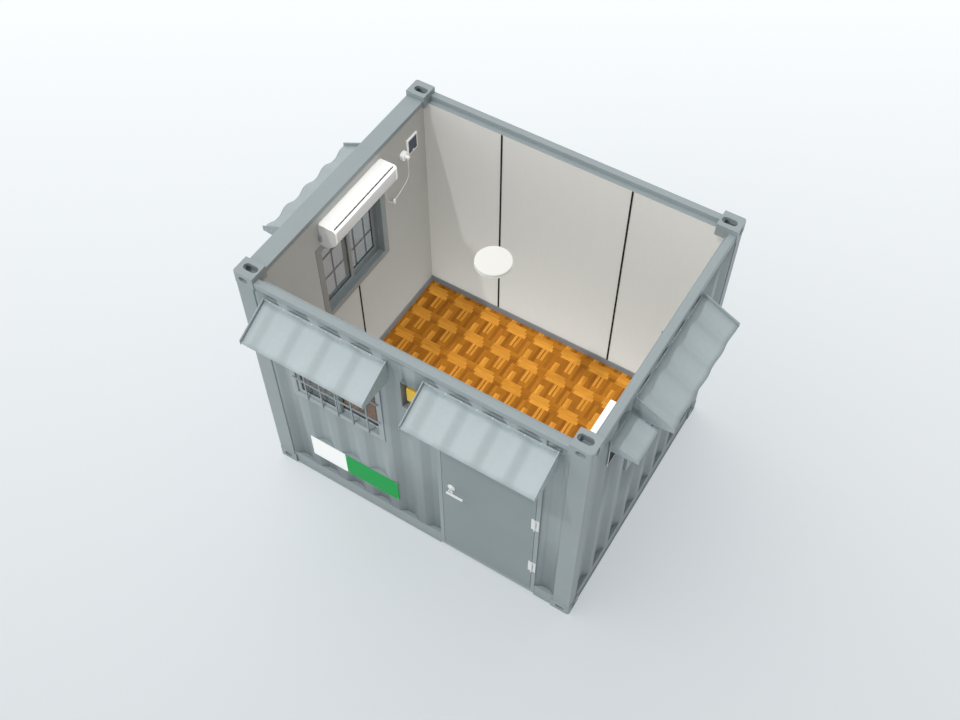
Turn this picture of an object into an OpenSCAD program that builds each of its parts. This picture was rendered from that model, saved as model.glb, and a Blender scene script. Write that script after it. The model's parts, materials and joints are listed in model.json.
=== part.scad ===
// Container cabin: a ten-foot steel box frame, clad in trapezoid sheet, lined and floored as a room.
// Its roof and ceiling are off, so the walls end at their top rails.
// Every wall is drawn in its own terms: u runs along it, v goes in from its outer face, z is up.

/* [Overall] */
// Length over the corner castings, along the door wall
cabin_length = 2991; // [2800:1:3700]
// Width over the corner castings
cabin_width = 2438; // [2300:1:3000]
// Height over the corner castings
cabin_height = 2591; // [2450:1:3150]

/* [Corner castings] */
// Casting size along the length
casting_x = 178; // [170:1:190]
// Casting size along the width
casting_y = 162; // [155:1:175]
// Casting height
casting_z = 118; // [110:1:130]
// Wall of a casting
casting_wall = 28; // [20:1:32]
// Length of a top or bottom aperture
aperture_length = 124; // [110:1:126]
// Width of a top or bottom aperture
aperture_width = 63.5; // [50:0.5:66]
// Aperture centre from the end face
aperture_end = 102; // [98:0.5:106]
// Aperture centre from the side face
aperture_side = 89.5; // [86:0.5:94]

/* [Frame] */
// How far the frame stands in from the casting faces
frame_inset = 6; // [4:1:10]
// Corner post width on the long walls
post_face = 155; // [130:1:165]
// Corner post width on the end walls
post_side = 100; // [80:1:130]
// Thickness of a post's two legs
post_leg = 40; // [20:1:44]
// Top of the base rails and of the floor
floor_level = 160; // [140:1:220]
// Base rails stand this far off the ground
rail_lift = 13; // [10:1:20]
// Width of a base rail
rail_depth = 52; // [40:1:54]
// Steel thickness of a base rail
rail_steel = 6; // [4:0.5:8]
// How far a base rail's lower flange stands out
rail_lip = 10; // [4:1:12]
// Side of the square top rails
top_rail = 60; // [50:1:70]
// Top of the top rails below the castings' tops
top_drop = 43; // [10:1:50]
// Width of the left end header
header_width = 159; // [100:1:165]
// Depth of the left end header
header_depth = 48; // [40:1:60]
// Number of floor joists
joist_count = 8; // [6:1:10]
// Width of a floor joist
joist_width = 50; // [40:1:60]

/* [Walls] */
// Distance from the outer face to the cladding's outer crests
crest_inset = 14; // [10:1:20]
// Depth of the trapezoid profile
profile_depth = 36; // [25:1:36]
// Pitch of the trapezoid profile
profile_pitch = 278; // [220:1:320]
// Width of a flat at the bottom of a recess
recess_flat = 70; // [50:1:90]
// Width of a sloping side
profile_slope = 68; // [40:1:80]
// Thickness of the cladding steel
cladding_steel = 2; // [1.5:0.5:3]
// Front wall thickness
front_wall = 105; // [90:1:140]
// Rear wall thickness
rear_wall = 110; // [90:1:140]
// Left wall thickness
left_wall = 130; // [110:1:160]
// Right wall thickness
right_wall = 90; // [82:1:120]
// Thickness of the cover strip on top of each wall
cap_steel = 4; // [2:1:6]
// Floor board thickness
floor_board_depth = 18; // [12:1:30]
// Parquet thickness
parquet_depth = 10; // [8:1:22]
// Width of a lining panel
panel_width = 1195; // [1000:1:1250]
// Width of a black joint strip
strip_width = 16; // [8:1:20]
// How far a joint strip stands proud
strip_proud = 5; // [2:1:8]
// Skirting height
skirting_height = 75; // [50:1:100]
// Skirting thickness
skirting_depth = 8; // [6:1:12]

/* [Windows] */
// Window opening width
window_width = 900; // [700:1:1000]
// Window opening height
window_height = 870; // [700:1:980]
// Window sill above the ground
window_sill = 1250; // [1100:1:1350]
// Left edge of the front window from the cabin's left end
front_window_left = 340; // [300:1:420]
// Face width of a window frame
window_face = 45; // [30:1:60]
// Outer face of a window frame from the outer face of the wall
window_inset = 8; // [6:1:12]
// Thickness of a sliding sash
sash_depth = 26; // [20:1:28]
// Face width of a sash
sash_face = 40; // [30:1:50]
// How far the two sashes overlap in the middle
sash_overlap = 40; // [20:1:50]
// Glass thickness
glass_depth = 6; // [4:1:12]
// Side of a grille bar
grille_bar = 12; // [8:1:16]
// Spacing of the upright grille bars
grille_spacing_u = 150; // [110:1:200]
// Spacing of the level grille bars
grille_spacing_z = 253; // [200:1:300]

/* [Awnings] */
// Awning width
awning_width = 1096; // [900:1:1120]
// Awning reach from the wall face
awning_reach = 310; // [200:1:380]
// Height of the sheet at the wall
awning_high = 2385; // [2330:1:2400]
// Height of the sheet at its outer edge
awning_low = 2225; // [2190:1:2280]
// Awning steel thickness
awning_steel = 3; // [2:1:4]
// Depth of the pressed hollows
awning_dip = 26; // [10:1:32]
// Pitch of the pressed hollows
awning_pitch = 255; // [200:1:280]
// Height of the upstand along each side
awning_lip = 38; // [20:1:50]
// Underside of the side cheeks
awning_cheek = 2182; // [2150:1:2200]

/* [Door] */
// Left edge of the leaf from the cabin's left end
door_left = 1768; // [1700:1:1790]
// Leaf width
door_width = 840; // [700:1:860]
// Leaf height
door_height = 2070; // [1900:1:2090]
// Bottom of the leaf above the ground
door_bottom = 60; // [40:1:80]
// Leaf thickness
door_depth = 40; // [34:1:42]
// Outer face of the leaf and its frame from the outer face of the wall
door_inset = 12; // [10:1:16]
// Gap around the leaf
door_gap = 3; // [2:0.5:6]
// Face width of the door frame
door_frame_face = 37; // [30:1:45]
// How far the door stop laps behind the leaf
door_stop = 25; // [15:1:40]
// Distance between two hinge centres
hinge_spacing = 722; // [600:1:760]
// Lowest hinge centre above the bottom of the leaf
hinge_low = 435; // [250:1:500]
// Hinge height
hinge_height = 160; // [100:1:180]
// Radius of a hinge knuckle
knuckle_r = 8; // [7:0.5:10]
// Radius of a hinge pin
pin_r = 4; // [3:0.5:5]
// Width of a hinge plate
hinge_plate = 26; // [20:1:30]
// Height of the lever handle above the ground
handle_height = 1090; // [950:1:1200]
// Handle axis from the free edge of the leaf
handle_edge = 87; // [60:1:120]
// Length of the lever
lever_length = 140; // [100:1:160]
// How far the lever stands off the leaf
lever_reach = 62; // [45:1:80]

/* [Fittings] */
// Left edge of the supply inlet recess from the cabin's left end
inlet_left = 1440; // [1380:1:1480]
// Bottom of the inlet recess
inlet_bottom = 1920; // [1850:1:2000]
// Width of the inlet recess
inlet_width = 200; // [150:1:220]
// Height of the inlet recess
inlet_height = 320; // [250:1:340]
// Fan centre from the front face
fan_centre = 470; // [430:1:520]
// Fan duct's centre above the ground
fan_height = 2110; // [2050:1:2120]
// Width of the fan's inner housing
fan_side = 300; // [260:1:320]
// Top of the fan's inner housing above the ground
fan_top = 2330; // [2260:1:2360]
// Air conditioner length
ac_length = 850; // [700:1:900]
// Air conditioner's front end from the front face
ac_front = 830; // [760:1:860]
// Sign length
sign_length = 900; // [700:1:950]
// Sign height
sign_height = 292; // [200:1:320]
// Left edge of the sign from the cabin's left end
sign_left = 412; // [380:1:460]
// Bottom of the sign
sign_bottom = 348; // [300:1:400]
// Ceiling light diameter
light_diameter = 300; // [200:1:400]

/* [Hidden] */
$fn = 48;

paint = "#8f9b9d";
paint_light = "#a5b0b3";
lining_colour = "#c8c6c1";
white = "#f2f2ee";
eps = 1;

// Heights
top_level = cabin_height - top_drop;
rail_bottom = top_level - top_rail;
cap_level = top_level - header_depth;
lining_top = cap_level - cap_steel;
casting_low_top = casting_z;
casting_high_bottom = cabin_height - casting_z;
skirting_top = floor_level + skirting_height;

// Depths, measured in from the outer face
post_back_x = frame_inset + post_face;
post_back_y = frame_inset + post_side;
recess_face = crest_inset + profile_depth;
lining_face = recess_face + cladding_steel;
rail_back = crest_inset + rail_depth;
rail_top_back = frame_inset + top_rail;

// Windows
window_top = window_sill + window_height;
sash_width = (window_width - 2 * window_face + sash_overlap) / 2;
sash_height = window_height - 2 * window_face;
track_wall = 14;
track_gap = 4;
outer_track = window_inset + track_wall;
inner_track = outer_track + sash_depth + track_gap;
side_window_left = (cabin_width - window_width) / 2;
trim_width = 20;
trim_depth = 4;

// Door
leaf_right = door_left + door_width;
leaf_top = door_bottom + door_height;
frame_left = door_left - door_gap - door_frame_face;
frame_right = leaf_right + door_gap + door_frame_face;
frame_low = door_bottom - door_gap - door_frame_face;
frame_top = leaf_top + door_gap + door_frame_face;
leaf_back = door_inset + door_depth;
seal_gap = 4;
stop_face = leaf_back + seal_gap;
stop_left = door_left + door_stop;
stop_right = leaf_right - door_stop;
stop_top = leaf_top - door_stop;
casing_face = front_wall + trim_depth;
pin_u = leaf_right + door_gap;
pin_v = door_inset - knuckle_r;
knuckle_gap = 1;
knuckle_bore = pin_r + 0.05;
hinge_steel = 3;
plate_gap = 2;
handle_u = door_left + handle_edge;
spindle_r = 8;
spindle_bore = spindle_r + 0.05;
lever_depth = 12;
lever_height = 26;
plate_r = 35;
plate_depth = 6;

// Awnings
front_awning_left = front_window_left + (window_width - awning_width) / 2;
door_awning_left = (frame_left + frame_right - awning_width) / 2 + 10;
side_awning_left = (cabin_width - awning_width) / 2;
awning_back = crest_inset - awning_steel;
awning_run = awning_reach + awning_back;
awning_drop_lip = 14;
awning_flange = [-40, 30];
awning_angle = atan2(awning_high - awning_low, awning_run);
awning_slope = norm([awning_high - awning_low, awning_run]);
dip_edge = 95;
dip_floor = 35;
dip_count = floor((awning_width - 2 * dip_edge) / awning_pitch) + 1;

// Fan and its hood
hood_width = 300;
hood_reach = 215;
hood_high = 2290;
hood_low = 2230;
hood_steel = 3;
hood_cheek = [90, 22];
hood_flange = [-30, 20];
fan_duct = 250;
fan_wall = 12;
fan_flange = 15;
flange_depth = 6;
fan_proud = 89;

// Left wall fittings: y is from the front face, x from the lining
ac_bottom = 2140;
ac_top = 2385;
ac_depth = 168;
board_y = 2047;
board_z = 2100;
board_size = [20, 151, 172];
socket_y = 1985;
socket_z = 2165;
socket_side = 80;
socket_depth = 38;
plug_length = 34;
plug_r = 19;
cord_r = 3.5;
cord_sides = 8;
junction_x = 20;
junction_y = 1798;
junction_z = 1749;
junction_r = 14;
junction_height = 60;
// The supply lead, held by the plug and the air conditioner: [in from the left lining, y, z]
cord_route = [
    [56, 1985, 2146], [56, 1985, 2128], [55, 1987, 2100], [52, 1992, 2060], [49, 1997, 2015],
    [46, 2000, 1970], [42, 1995, 1928], [38, 1978, 1893], [33, 1950, 1862], [28, 1915, 1836],
    [24, 1877, 1814], [21, 1838, 1798], [20, 1800, 1791], [20, 1764, 1799], [21, 1733, 1825],
    [24, 1708, 1865], [27, 1689, 1915], [30, 1676, 1970], [33, 1668, 2030], [35, 1665, 2085],
    [36, 1665, 2120], [36, 1665, 2140]];

// Supply inlet
inlet_depth = 90;
inlet_steel = 2;
inlet_drop = 102;

// Sign and light
sign_depth = 4;
light_depth = 60;
light_top = 2410;

// ---------------------------------------------------------------- placing

// Puts a piece given from the front left corner into the part's frame
module place() {
    translate([-cabin_length / 2, -cabin_width / 2, 0]) children();
}

// A wall's own axes: u along it seen from outside, v in from its outer face
module on_left() {
    place() translate([0, cabin_width, 0]) rotate([0, 0, -90]) children();
}

module on_right() {
    place() translate([cabin_length, 0, 0]) rotate([0, 0, 90]) children();
}

module on_rear() {
    place() translate([cabin_length, cabin_width, 0]) rotate([0, 0, 180]) children();
}

// A box from one corner to the opposite one
module box(low, high) {
    translate(low) cube(high - low);
}

// Children at the four corners, mirrored so that each has its corner at the origin
module at_corners() {
    for (ix = [0, 1], iy = [0, 1])
        translate([ix * cabin_length, iy * cabin_width, 0])
            mirror([ix, 0, 0]) mirror([0, iy, 0]) children();
}

// A slot with round ends
module slot(length, width) {
    run = length - width;
    square([run, width], center = true);
    for (s = [-1, 1]) translate([s * run / 2, 0]) circle(d = width);
}

// A rectangular ring in u and z, from v0 to v1
module ring(u0, u1, z0, z1, face, v0, v1) {
    difference() {
        box([u0, v0, z0], [u1, v1, z1]);
        box([u0 + face, v0 - eps, z0 + face], [u1 - face, v1 + eps, z1 - face]);
    }
}

// ---------------------------------------------------------------- frame

// One casting with its main aperture in the face at z = 0
module casting() {
    side_slot = [79.5, 51];
    mid_y = casting_y / 2;
    inner_z = casting_z - casting_wall;
    difference() {
        cube([casting_x, casting_y, casting_z]);
        box([casting_wall, casting_wall, casting_wall],
            [casting_x - casting_wall, casting_y - casting_wall, inner_z]);
        translate([aperture_end, aperture_side, -eps])
            linear_extrude(casting_wall + 2 * eps) slot(aperture_length, aperture_width);
        translate([-eps, mid_y, casting_z / 2]) rotate([90, 0, 90])
            linear_extrude(casting_wall + 2 * eps) rotate(90) slot(side_slot.x, side_slot.y);
        translate([casting_x / 2, -eps, casting_z / 2]) rotate([-90, 0, 0])
            linear_extrude(casting_wall + 2 * eps) slot(side_slot.x, side_slot.y);
    }
}

module base_castings() {
    color(paint_light) place() at_corners() casting();
}

module top_castings() {
    color(paint_light) place() at_corners()
        translate([0, 0, cabin_height]) mirror([0, 0, 1]) casting();
}

// The room that the eight castings take, for the pieces that meet them
module casting_blocks() {
    room = [casting_x, casting_y, casting_z] + [eps, eps, eps];
    at_corners() for (z = [-eps, casting_high_bottom])
        translate([-eps, -eps, z]) cube(room);
}

module corner_posts() {
    color(paint) place() at_corners()
        translate([0, 0, casting_low_top]) linear_extrude(casting_high_bottom - casting_low_top) {
            translate([frame_inset, frame_inset]) square([post_face, post_leg]);
            translate([frame_inset, frame_inset]) square([post_leg, post_side]);
        }
}

// A base rail: a channel open to the room, its lower flange standing out as a lip
module base_rail(u0, u1) {
    web_back = crest_inset + rail_steel;
    low = rail_lift + rail_steel;
    high = floor_level - rail_steel;
    translate([u0, 0, 0]) rotate([90, 0, 90]) linear_extrude(u1 - u0) polygon([
        [crest_inset - rail_lip, rail_lift], [rail_back, rail_lift], [rail_back, low],
        [web_back, low], [web_back, high], [rail_back, high], [rail_back, floor_level],
        [crest_inset, floor_level], [crest_inset, low], [crest_inset - rail_lip, low]]);
}

module base_rails() {
    color(paint) difference() {
        union() {
            place() base_rail(post_back_x, frame_left);
            place() base_rail(frame_right, cabin_length - post_back_x);
            on_rear() base_rail(post_back_x, cabin_length - post_back_x);
            on_left() base_rail(post_back_y, cabin_width - post_back_y);
            on_right() base_rail(post_back_y, cabin_width - post_back_y);
        }
        place() casting_blocks();
    }
}

// Joists from the front rail, or the door's sill plate, to the rear rail
module floor_joists() {
    joist_top = floor_level - parquet_depth - floor_board_depth;
    joist_step = (cabin_length - 2 * casting_x - joist_width) / (joist_count - 1);
    web_back = crest_inset + rail_steel;
    color(paint) place() for (i = [0:joist_count - 1]) {
        x = casting_x + i * joist_step;
        front = x + joist_width > frame_left && x < frame_right ? rail_back : web_back;
        box([x, front, rail_lift + rail_steel], [x + joist_width, cabin_width - web_back, joist_top]);
    }
}

module floor_board() {
    top = floor_level - parquet_depth;
    color("#8a6a42") place() difference() {
        box([rail_back, rail_back, top - floor_board_depth],
            [cabin_length - rail_back, cabin_width - rail_back, top]);
        casting_blocks();
    }
}

module parquet_floor() {
    color("#c07a26") place()
        box([rail_back, rail_back, floor_level - parquet_depth],
            [cabin_length - rail_back, cabin_width - rail_back, floor_level]);
}

// A square tube with rounded edges, from u0 to u1
module top_tube(u0, u1) {
    r = 8;
    translate([u0, frame_inset, rail_bottom]) rotate([90, 0, 90]) linear_extrude(u1 - u0) {
        translate([r, 0]) square([top_rail - 2 * r, top_rail]);
        translate([0, r]) square([top_rail, top_rail - 2 * r]);
        for (a = [r, top_rail - r], b = [r, top_rail - r]) translate([a, b]) circle(r);
    }
}

module top_rails() {
    color(paint_light) {
        place() top_tube(casting_x, cabin_length - casting_x);
        on_rear() top_tube(casting_x, cabin_length - casting_x);
    }
}

module end_rails() {
    color(paint_light) {
        on_left() box([casting_y, frame_inset, cap_level],
                      [cabin_width - casting_y, frame_inset + header_width, top_level]);
        on_right() top_tube(casting_y, cabin_width - casting_y);
    }
}

// Flat strips that close the tops of the front, rear and right walls behind their rails
module wall_caps() {
    right_end = cabin_length - right_wall;
    color(paint) place() difference() {
        union() {
            box([left_wall, rail_top_back, lining_top], [right_end, front_wall, cap_level]);
            box([left_wall, cabin_width - rear_wall, lining_top],
                [right_end, cabin_width - rail_top_back, cap_level]);
            box([right_end, rail_top_back, lining_top],
                [cabin_length - rail_top_back, cabin_width - rail_top_back, cap_level]);
        }
        casting_blocks();
    }
}

// ---------------------------------------------------------------- walls

// The trapezoid line of the sheet, with a recess centred on u = centre and on every pitch from it
function profile_line(u0, u1, centre, pitch) = [
    for (k = [floor((u0 - centre) / pitch) - 1 : ceil((u1 - centre) / pitch) + 1])
        let (c = centre + k * pitch, a = recess_flat / 2, b = a + profile_slope)
        each [[c - b, crest_inset], [c - a, recess_face], [c + a, recess_face], [c + b, crest_inset]]];

module trapezoid_sheet(u0, u1, z0, z1, centre, pitch = profile_pitch) {
    line = profile_line(u0, u1, centre, pitch);
    back = [for (i = [len(line) - 1 : -1 : 0]) line[i] + [0, cladding_steel]];
    translate([0, 0, z0]) linear_extrude(z1 - z0) intersection() {
        polygon(concat(line, back));
        translate([u0, 0]) square([u1 - u0, lining_face]);
    }
}

// A sheet of whole pitches, so that both its ends lie on a crest against the posts
module fitted_sheet(u0, u1, z0, z1) {
    pitch = (u1 - u0) / round((u1 - u0) / profile_pitch);
    trapezoid_sheet(u0, u1, z0, z1, u0 + pitch / 2, pitch);
}

module window_hole(u) {
    box([u, -eps, window_sill], [u + window_width, 2 * left_wall, window_top]);
}

module inlet_hole() {
    box([inlet_left, -eps, inlet_bottom],
        [inlet_left + inlet_width, inlet_depth, inlet_bottom + inlet_height]);
}

module fan_hole() {
    box([fan_centre - fan_duct / 2, -eps, fan_height - fan_duct / 2],
        [fan_centre + fan_duct / 2, 2 * right_wall, fan_height + fan_duct / 2]);
}

module cladding_front() {
    front_first_recess = post_back_x + 129;
    beside_door = (frame_right + cabin_length - post_back_x) / 2;
    color(paint) place() difference() {
        union() {
            trapezoid_sheet(post_back_x, frame_left, floor_level, rail_bottom, front_first_recess);
            trapezoid_sheet(frame_left, frame_right, frame_top, rail_bottom, front_first_recess);
            trapezoid_sheet(frame_right, cabin_length - post_back_x, floor_level, rail_bottom,
                            beside_door);
        }
        window_hole(front_window_left);
        inlet_hole();
        casting_blocks();
    }
}

module cladding_rear() {
    color(paint) difference() {
        on_rear() fitted_sheet(post_back_x, cabin_length - post_back_x, floor_level, rail_bottom);
        place() casting_blocks();
    }
}

module cladding_left() {
    color(paint) difference() {
        on_left() difference() {
            fitted_sheet(post_back_y, cabin_width - post_back_y, floor_level, cap_level);
            window_hole(side_window_left);
        }
        place() casting_blocks();
    }
}

module cladding_right() {
    color(paint) difference() {
        on_right() difference() {
            fitted_sheet(post_back_y, cabin_width - post_back_y, floor_level, rail_bottom);
            window_hole(side_window_left);
            fan_hole();
        }
        place() casting_blocks();
    }
}

// A lining panel with its insulation, from v = lining_face to the wall's inner face,
// its outer top edge kept below the top tube
module lining(u0, u1, z0, z1, inner) {
    box([u0, lining_face, z0], [u1, inner, min(z1, rail_bottom)]);
    if (z1 > rail_bottom) box([u0, rail_top_back, rail_bottom - eps], [u1, inner, z1]);
}

module lining_front_left() {
    color(lining_colour) place() difference() {
        lining(left_wall, frame_left, floor_level, lining_top, front_wall);
        window_hole(front_window_left);
        inlet_hole();
        casting_blocks();
    }
}

module lining_front_head() {
    color(lining_colour) place() lining(frame_left, frame_right, frame_top, lining_top, front_wall);
}

module lining_front_right() {
    color(lining_colour) place() difference() {
        lining(frame_right, cabin_length - right_wall, floor_level, lining_top, front_wall);
        casting_blocks();
    }
}

module lining_rear() {
    color(lining_colour) difference() {
        on_rear() lining(right_wall, cabin_length - left_wall, floor_level, lining_top, rear_wall);
        place() casting_blocks();
    }
}

module lining_left() {
    color("#989890") difference() {
        on_left() difference() {
            box([lining_face, lining_face, floor_level],
                [cabin_width - lining_face, left_wall, cap_level]);
            window_hole(side_window_left);
        }
        place() casting_blocks();
    }
}

module lining_right() {
    color(lining_colour) difference() {
        on_right() difference() {
            lining(lining_face, cabin_width - lining_face, floor_level, lining_top, right_wall);
            window_hole(side_window_left);
            fan_hole();
        }
        place() casting_blocks();
    }
}

// A strip over a panel joint, from z0 to z1, on a wall whose inner face is at v = inner
module joint_strip(u, z0, z1, inner) {
    box([u - strip_width / 2, inner, z0], [u + strip_width / 2, inner + strip_proud, z1]);
}

module joint_strips() {
    joints = [cabin_length / 2 - panel_width / 2, cabin_length / 2 + panel_width / 2];
    over_window = window_top + trim_width;
    below_window = window_sill - trim_width;
    color("#141414") {
        on_rear() for (u = joints) joint_strip(u, skirting_top, lining_top, rear_wall);
        place() {
            joint_strip(joints[0], skirting_top, below_window, front_wall);
            joint_strip(joints[0], over_window, lining_top, front_wall);
            joint_strip(joints[1], frame_top, lining_top, front_wall);
        }
        on_left() joint_strip(cabin_width / 2, skirting_top, below_window, left_wall);
        on_right() {
            joint_strip(cabin_width / 2, skirting_top, below_window, right_wall);
            joint_strip(cabin_width / 2, over_window, lining_top, right_wall);
        }
    }
}

module skirting() {
    x0 = left_wall;
    x1 = cabin_length - right_wall;
    y0 = front_wall;
    y1 = cabin_width - rear_wall;
    color("#8d9299") place() difference() {
        box([x0, y0, floor_level], [x1, y1, skirting_top]);
        box([x0 + skirting_depth, y0 + skirting_depth, floor_level - eps],
            [x1 - skirting_depth, y1 - skirting_depth, skirting_top + eps]);
        box([frame_left, y0 - eps, floor_level - eps],
            [frame_right, y0 + skirting_depth + eps, skirting_top + eps]);
    }
}

// ---------------------------------------------------------------- windows

// The left edge, seen from outside, and the track of each sash
sashes = [[window_face, outer_track], [window_width - window_face - sash_width, inner_track]];

// A frame through the wall, its inner trim and its two sliding sashes
module window_frame(u, inner) {
    z0 = window_sill;
    z1 = window_top;
    color(paint) {
        translate([u, 0, 0]) {
            ring(0, window_width, z0, z1, window_face, window_inset, inner);
            ring(-trim_width, window_width + trim_width, z0 - trim_width, z1 + trim_width,
                 trim_width + window_face, inner, inner + trim_depth);
            for (s = sashes)
                ring(s[0], s[0] + sash_width, z0 + window_face, z1 - window_face, sash_face,
                     s[1], s[1] + sash_depth);
        }
    }
}

module window_panes(u) {
    for (s = sashes)
        translate([u + s[0] + sash_face, s[1] + (sash_depth - glass_depth) / 2,
                   window_sill + window_face + sash_face])
            cube([sash_width - 2 * sash_face, glass_depth, sash_height - 2 * sash_face]);
}

module window_glass() {
    color("#5d6668") {
        place() window_panes(front_window_left);
        on_left() window_panes(side_window_left);
        on_right() window_panes(side_window_left);
    }
}

// Bars welded across the face of the frame
module grille(u) {
    margin = window_face / 2;
    last_u = ceil(window_width / grille_spacing_u) - 1;
    last_z = ceil(window_height / grille_spacing_z) - 1;
    color(paint) translate([u, window_inset - grille_bar, 0]) {
        for (i = [1:last_u])
            translate([i * grille_spacing_u - grille_bar / 2, 0, window_sill + margin])
                cube([grille_bar, grille_bar, window_height - 2 * margin]);
        for (k = [1:last_z])
            translate([margin, 0, window_sill + k * grille_spacing_z])
                cube([window_width - 2 * margin, grille_bar, grille_bar]);
    }
}

// ---------------------------------------------------------------- awnings

// The line of hollows across an awning sheet
function dip_line(width) = [
    for (k = [0:dip_count - 1])
        let (c = width / 2 + (k - (dip_count - 1) / 2) * awning_pitch)
        each [[c - dip_edge, 0], [c - dip_floor, -awning_dip],
              [c + dip_floor, -awning_dip], [c + dip_edge, 0]]];

module awning(u) {
    side = [[crest_inset, awning_high + awning_lip],
            [-awning_reach, awning_low + awning_lip],
            [-awning_reach, awning_low - awning_drop_lip], [crest_inset, awning_cheek]];
    line = concat([[awning_steel, 0]], dip_line(awning_width), [[awning_width - awning_steel, 0]]);
    sheet = concat(line, [for (i = [len(line) - 1 : -1 : 0]) line[i] - [0, awning_steel]]);
    color("#bccace") translate([u, 0, 0]) {
        for (s = [0, awning_width - awning_steel])
            translate([s, 0, 0]) rotate([90, 0, 90]) linear_extrude(awning_steel) polygon(side);
        intersection() {
            translate([0, awning_back, awning_high]) rotate([90 + awning_angle, 0, 0])
                linear_extrude(awning_slope) polygon(sheet);
            box([0, -2 * awning_reach, 0], [awning_width, crest_inset, cabin_height]);
        }
        box([0, awning_back, awning_high + awning_flange[0]],
            [awning_width, crest_inset, awning_high + awning_flange[1]]);
    }
}

module fan_hood() {
    u = fan_centre - hood_width / 2;
    side = [[crest_inset, hood_high], [-hood_reach, hood_low],
            [-hood_reach, hood_low - hood_cheek[1]], [crest_inset, hood_high - hood_cheek[0]]];
    top = [[crest_inset, hood_high], [-hood_reach, hood_low], [-hood_reach, hood_low - hood_steel],
           [crest_inset, hood_high - hood_steel]];
    color("#a9b5b8") on_right() {
        for (s = [0, hood_width - hood_steel])
            translate([u + s, 0, 0]) rotate([90, 0, 90]) linear_extrude(hood_steel) polygon(side);
        translate([u, 0, 0]) rotate([90, 0, 90]) linear_extrude(hood_width) polygon(top);
        box([u, crest_inset - hood_steel, hood_high + hood_flange[0]],
            [u + hood_width, crest_inset, hood_high + hood_flange[1]]);
    }
}

// ---------------------------------------------------------------- door

module door_frame() {
    color(paint) place() {
        difference() {
            box([frame_left, door_inset, frame_low], [frame_right, stop_face, frame_top]);
            box([door_left - door_gap, door_inset - eps, door_bottom - door_gap],
                [leaf_right + door_gap, stop_face + eps, leaf_top + door_gap]);
        }
        difference() {
            box([frame_left, stop_face, floor_level], [frame_right, casing_face, frame_top]);
            box([stop_left, stop_face - eps, floor_level - eps],
                [stop_right, casing_face + eps, stop_top]);
        }
        box([frame_left, stop_face, frame_low], [frame_right, rail_back, floor_level]);
    }
}

module door_leaf() {
    color("#838f90") place() difference() {
        box([door_left, door_inset, door_bottom], [leaf_right, leaf_back, leaf_top]);
        translate([handle_u, door_inset - eps, handle_height]) rotate([-90, 0, 0])
            cylinder(r = spindle_bore, h = door_depth + 2 * eps);
    }
}

function hinge_z(i) = door_bottom + hinge_low + i * hinge_spacing;

// One knuckle of a hinge with the tab that joins it to its plate on the side given
module knuckle(side, z0, z1) {
    translate([pin_u, pin_v, z0]) {
        cylinder(r = knuckle_r, h = z1 - z0);
        tab = knuckle_r + plate_gap + eps;
        translate([min(0, side * tab), knuckle_r - hinge_steel, 0]) cube([tab, hinge_steel, z1 - z0]);
    }
}

module hinge_frame_sides() {
    third = hinge_height / 3;
    color(white) place() for (i = [0:2]) {
        z0 = hinge_z(i) - hinge_height / 2;
        knuckle(1, z0, z0 + third - knuckle_gap);
        knuckle(1, z0 + 2 * third + knuckle_gap, z0 + hinge_height);
        box([pin_u + knuckle_r + plate_gap, door_inset - hinge_steel, z0],
            [pin_u + knuckle_r + hinge_plate, door_inset, z0 + hinge_height]);
        translate([pin_u, pin_v, z0]) cylinder(r = pin_r, h = hinge_height);
    }
}

module hinge_door_sides() {
    third = hinge_height / 3;
    color(white) place() for (i = [0:2]) {
        z0 = hinge_z(i) - hinge_height / 2;
        difference() {
            knuckle(-1, z0 + third, z0 + 2 * third);
            translate([pin_u, pin_v, z0]) cylinder(r = knuckle_bore, h = hinge_height);
        }
        box([pin_u - knuckle_r - hinge_plate, door_inset - hinge_steel, z0],
            [pin_u - knuckle_r - plate_gap, door_inset, z0 + hinge_height]);
    }
}

module door_handle() {
    outside = door_inset - lever_reach;
    inside = leaf_back + lever_reach - lever_depth;
    half = lever_height / 2;
    color(white) place() {
        translate([handle_u, outside, handle_height]) rotate([-90, 0, 0])
            cylinder(r = spindle_r, h = inside - outside);
        for (v = [outside, inside])
            box([handle_u - half, v, handle_height - half],
                [handle_u + lever_length, v + lever_depth, handle_height + half]);
    }
}

module handle_plates() {
    color(white) place() for (v = [door_inset - plate_depth, leaf_back])
        translate([handle_u, v, handle_height]) rotate([-90, 0, 0]) difference() {
            cylinder(r = plate_r, h = plate_depth);
            translate([0, 0, -eps]) cylinder(r = spindle_bore, h = plate_depth + 2 * eps);
        }
}

// ---------------------------------------------------------------- fittings

module air_conditioner() {
    front = left_wall + ac_depth;
    underside = 78;
    chin = [18, 72];
    lip_z = 100;
    brow = [16, 24];
    color(white) place() translate([0, ac_front, 0]) rotate([90, 0, 0]) mirror([0, 0, 1])
        linear_extrude(ac_length) polygon([
            [left_wall, ac_bottom], [left_wall + underside, ac_bottom],
            [front - chin.x, ac_bottom + chin.y], [front, ac_bottom + lip_z],
            [front, ac_top - brow.y], [front - brow.x, ac_top], [left_wall, ac_top]]);
}

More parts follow.
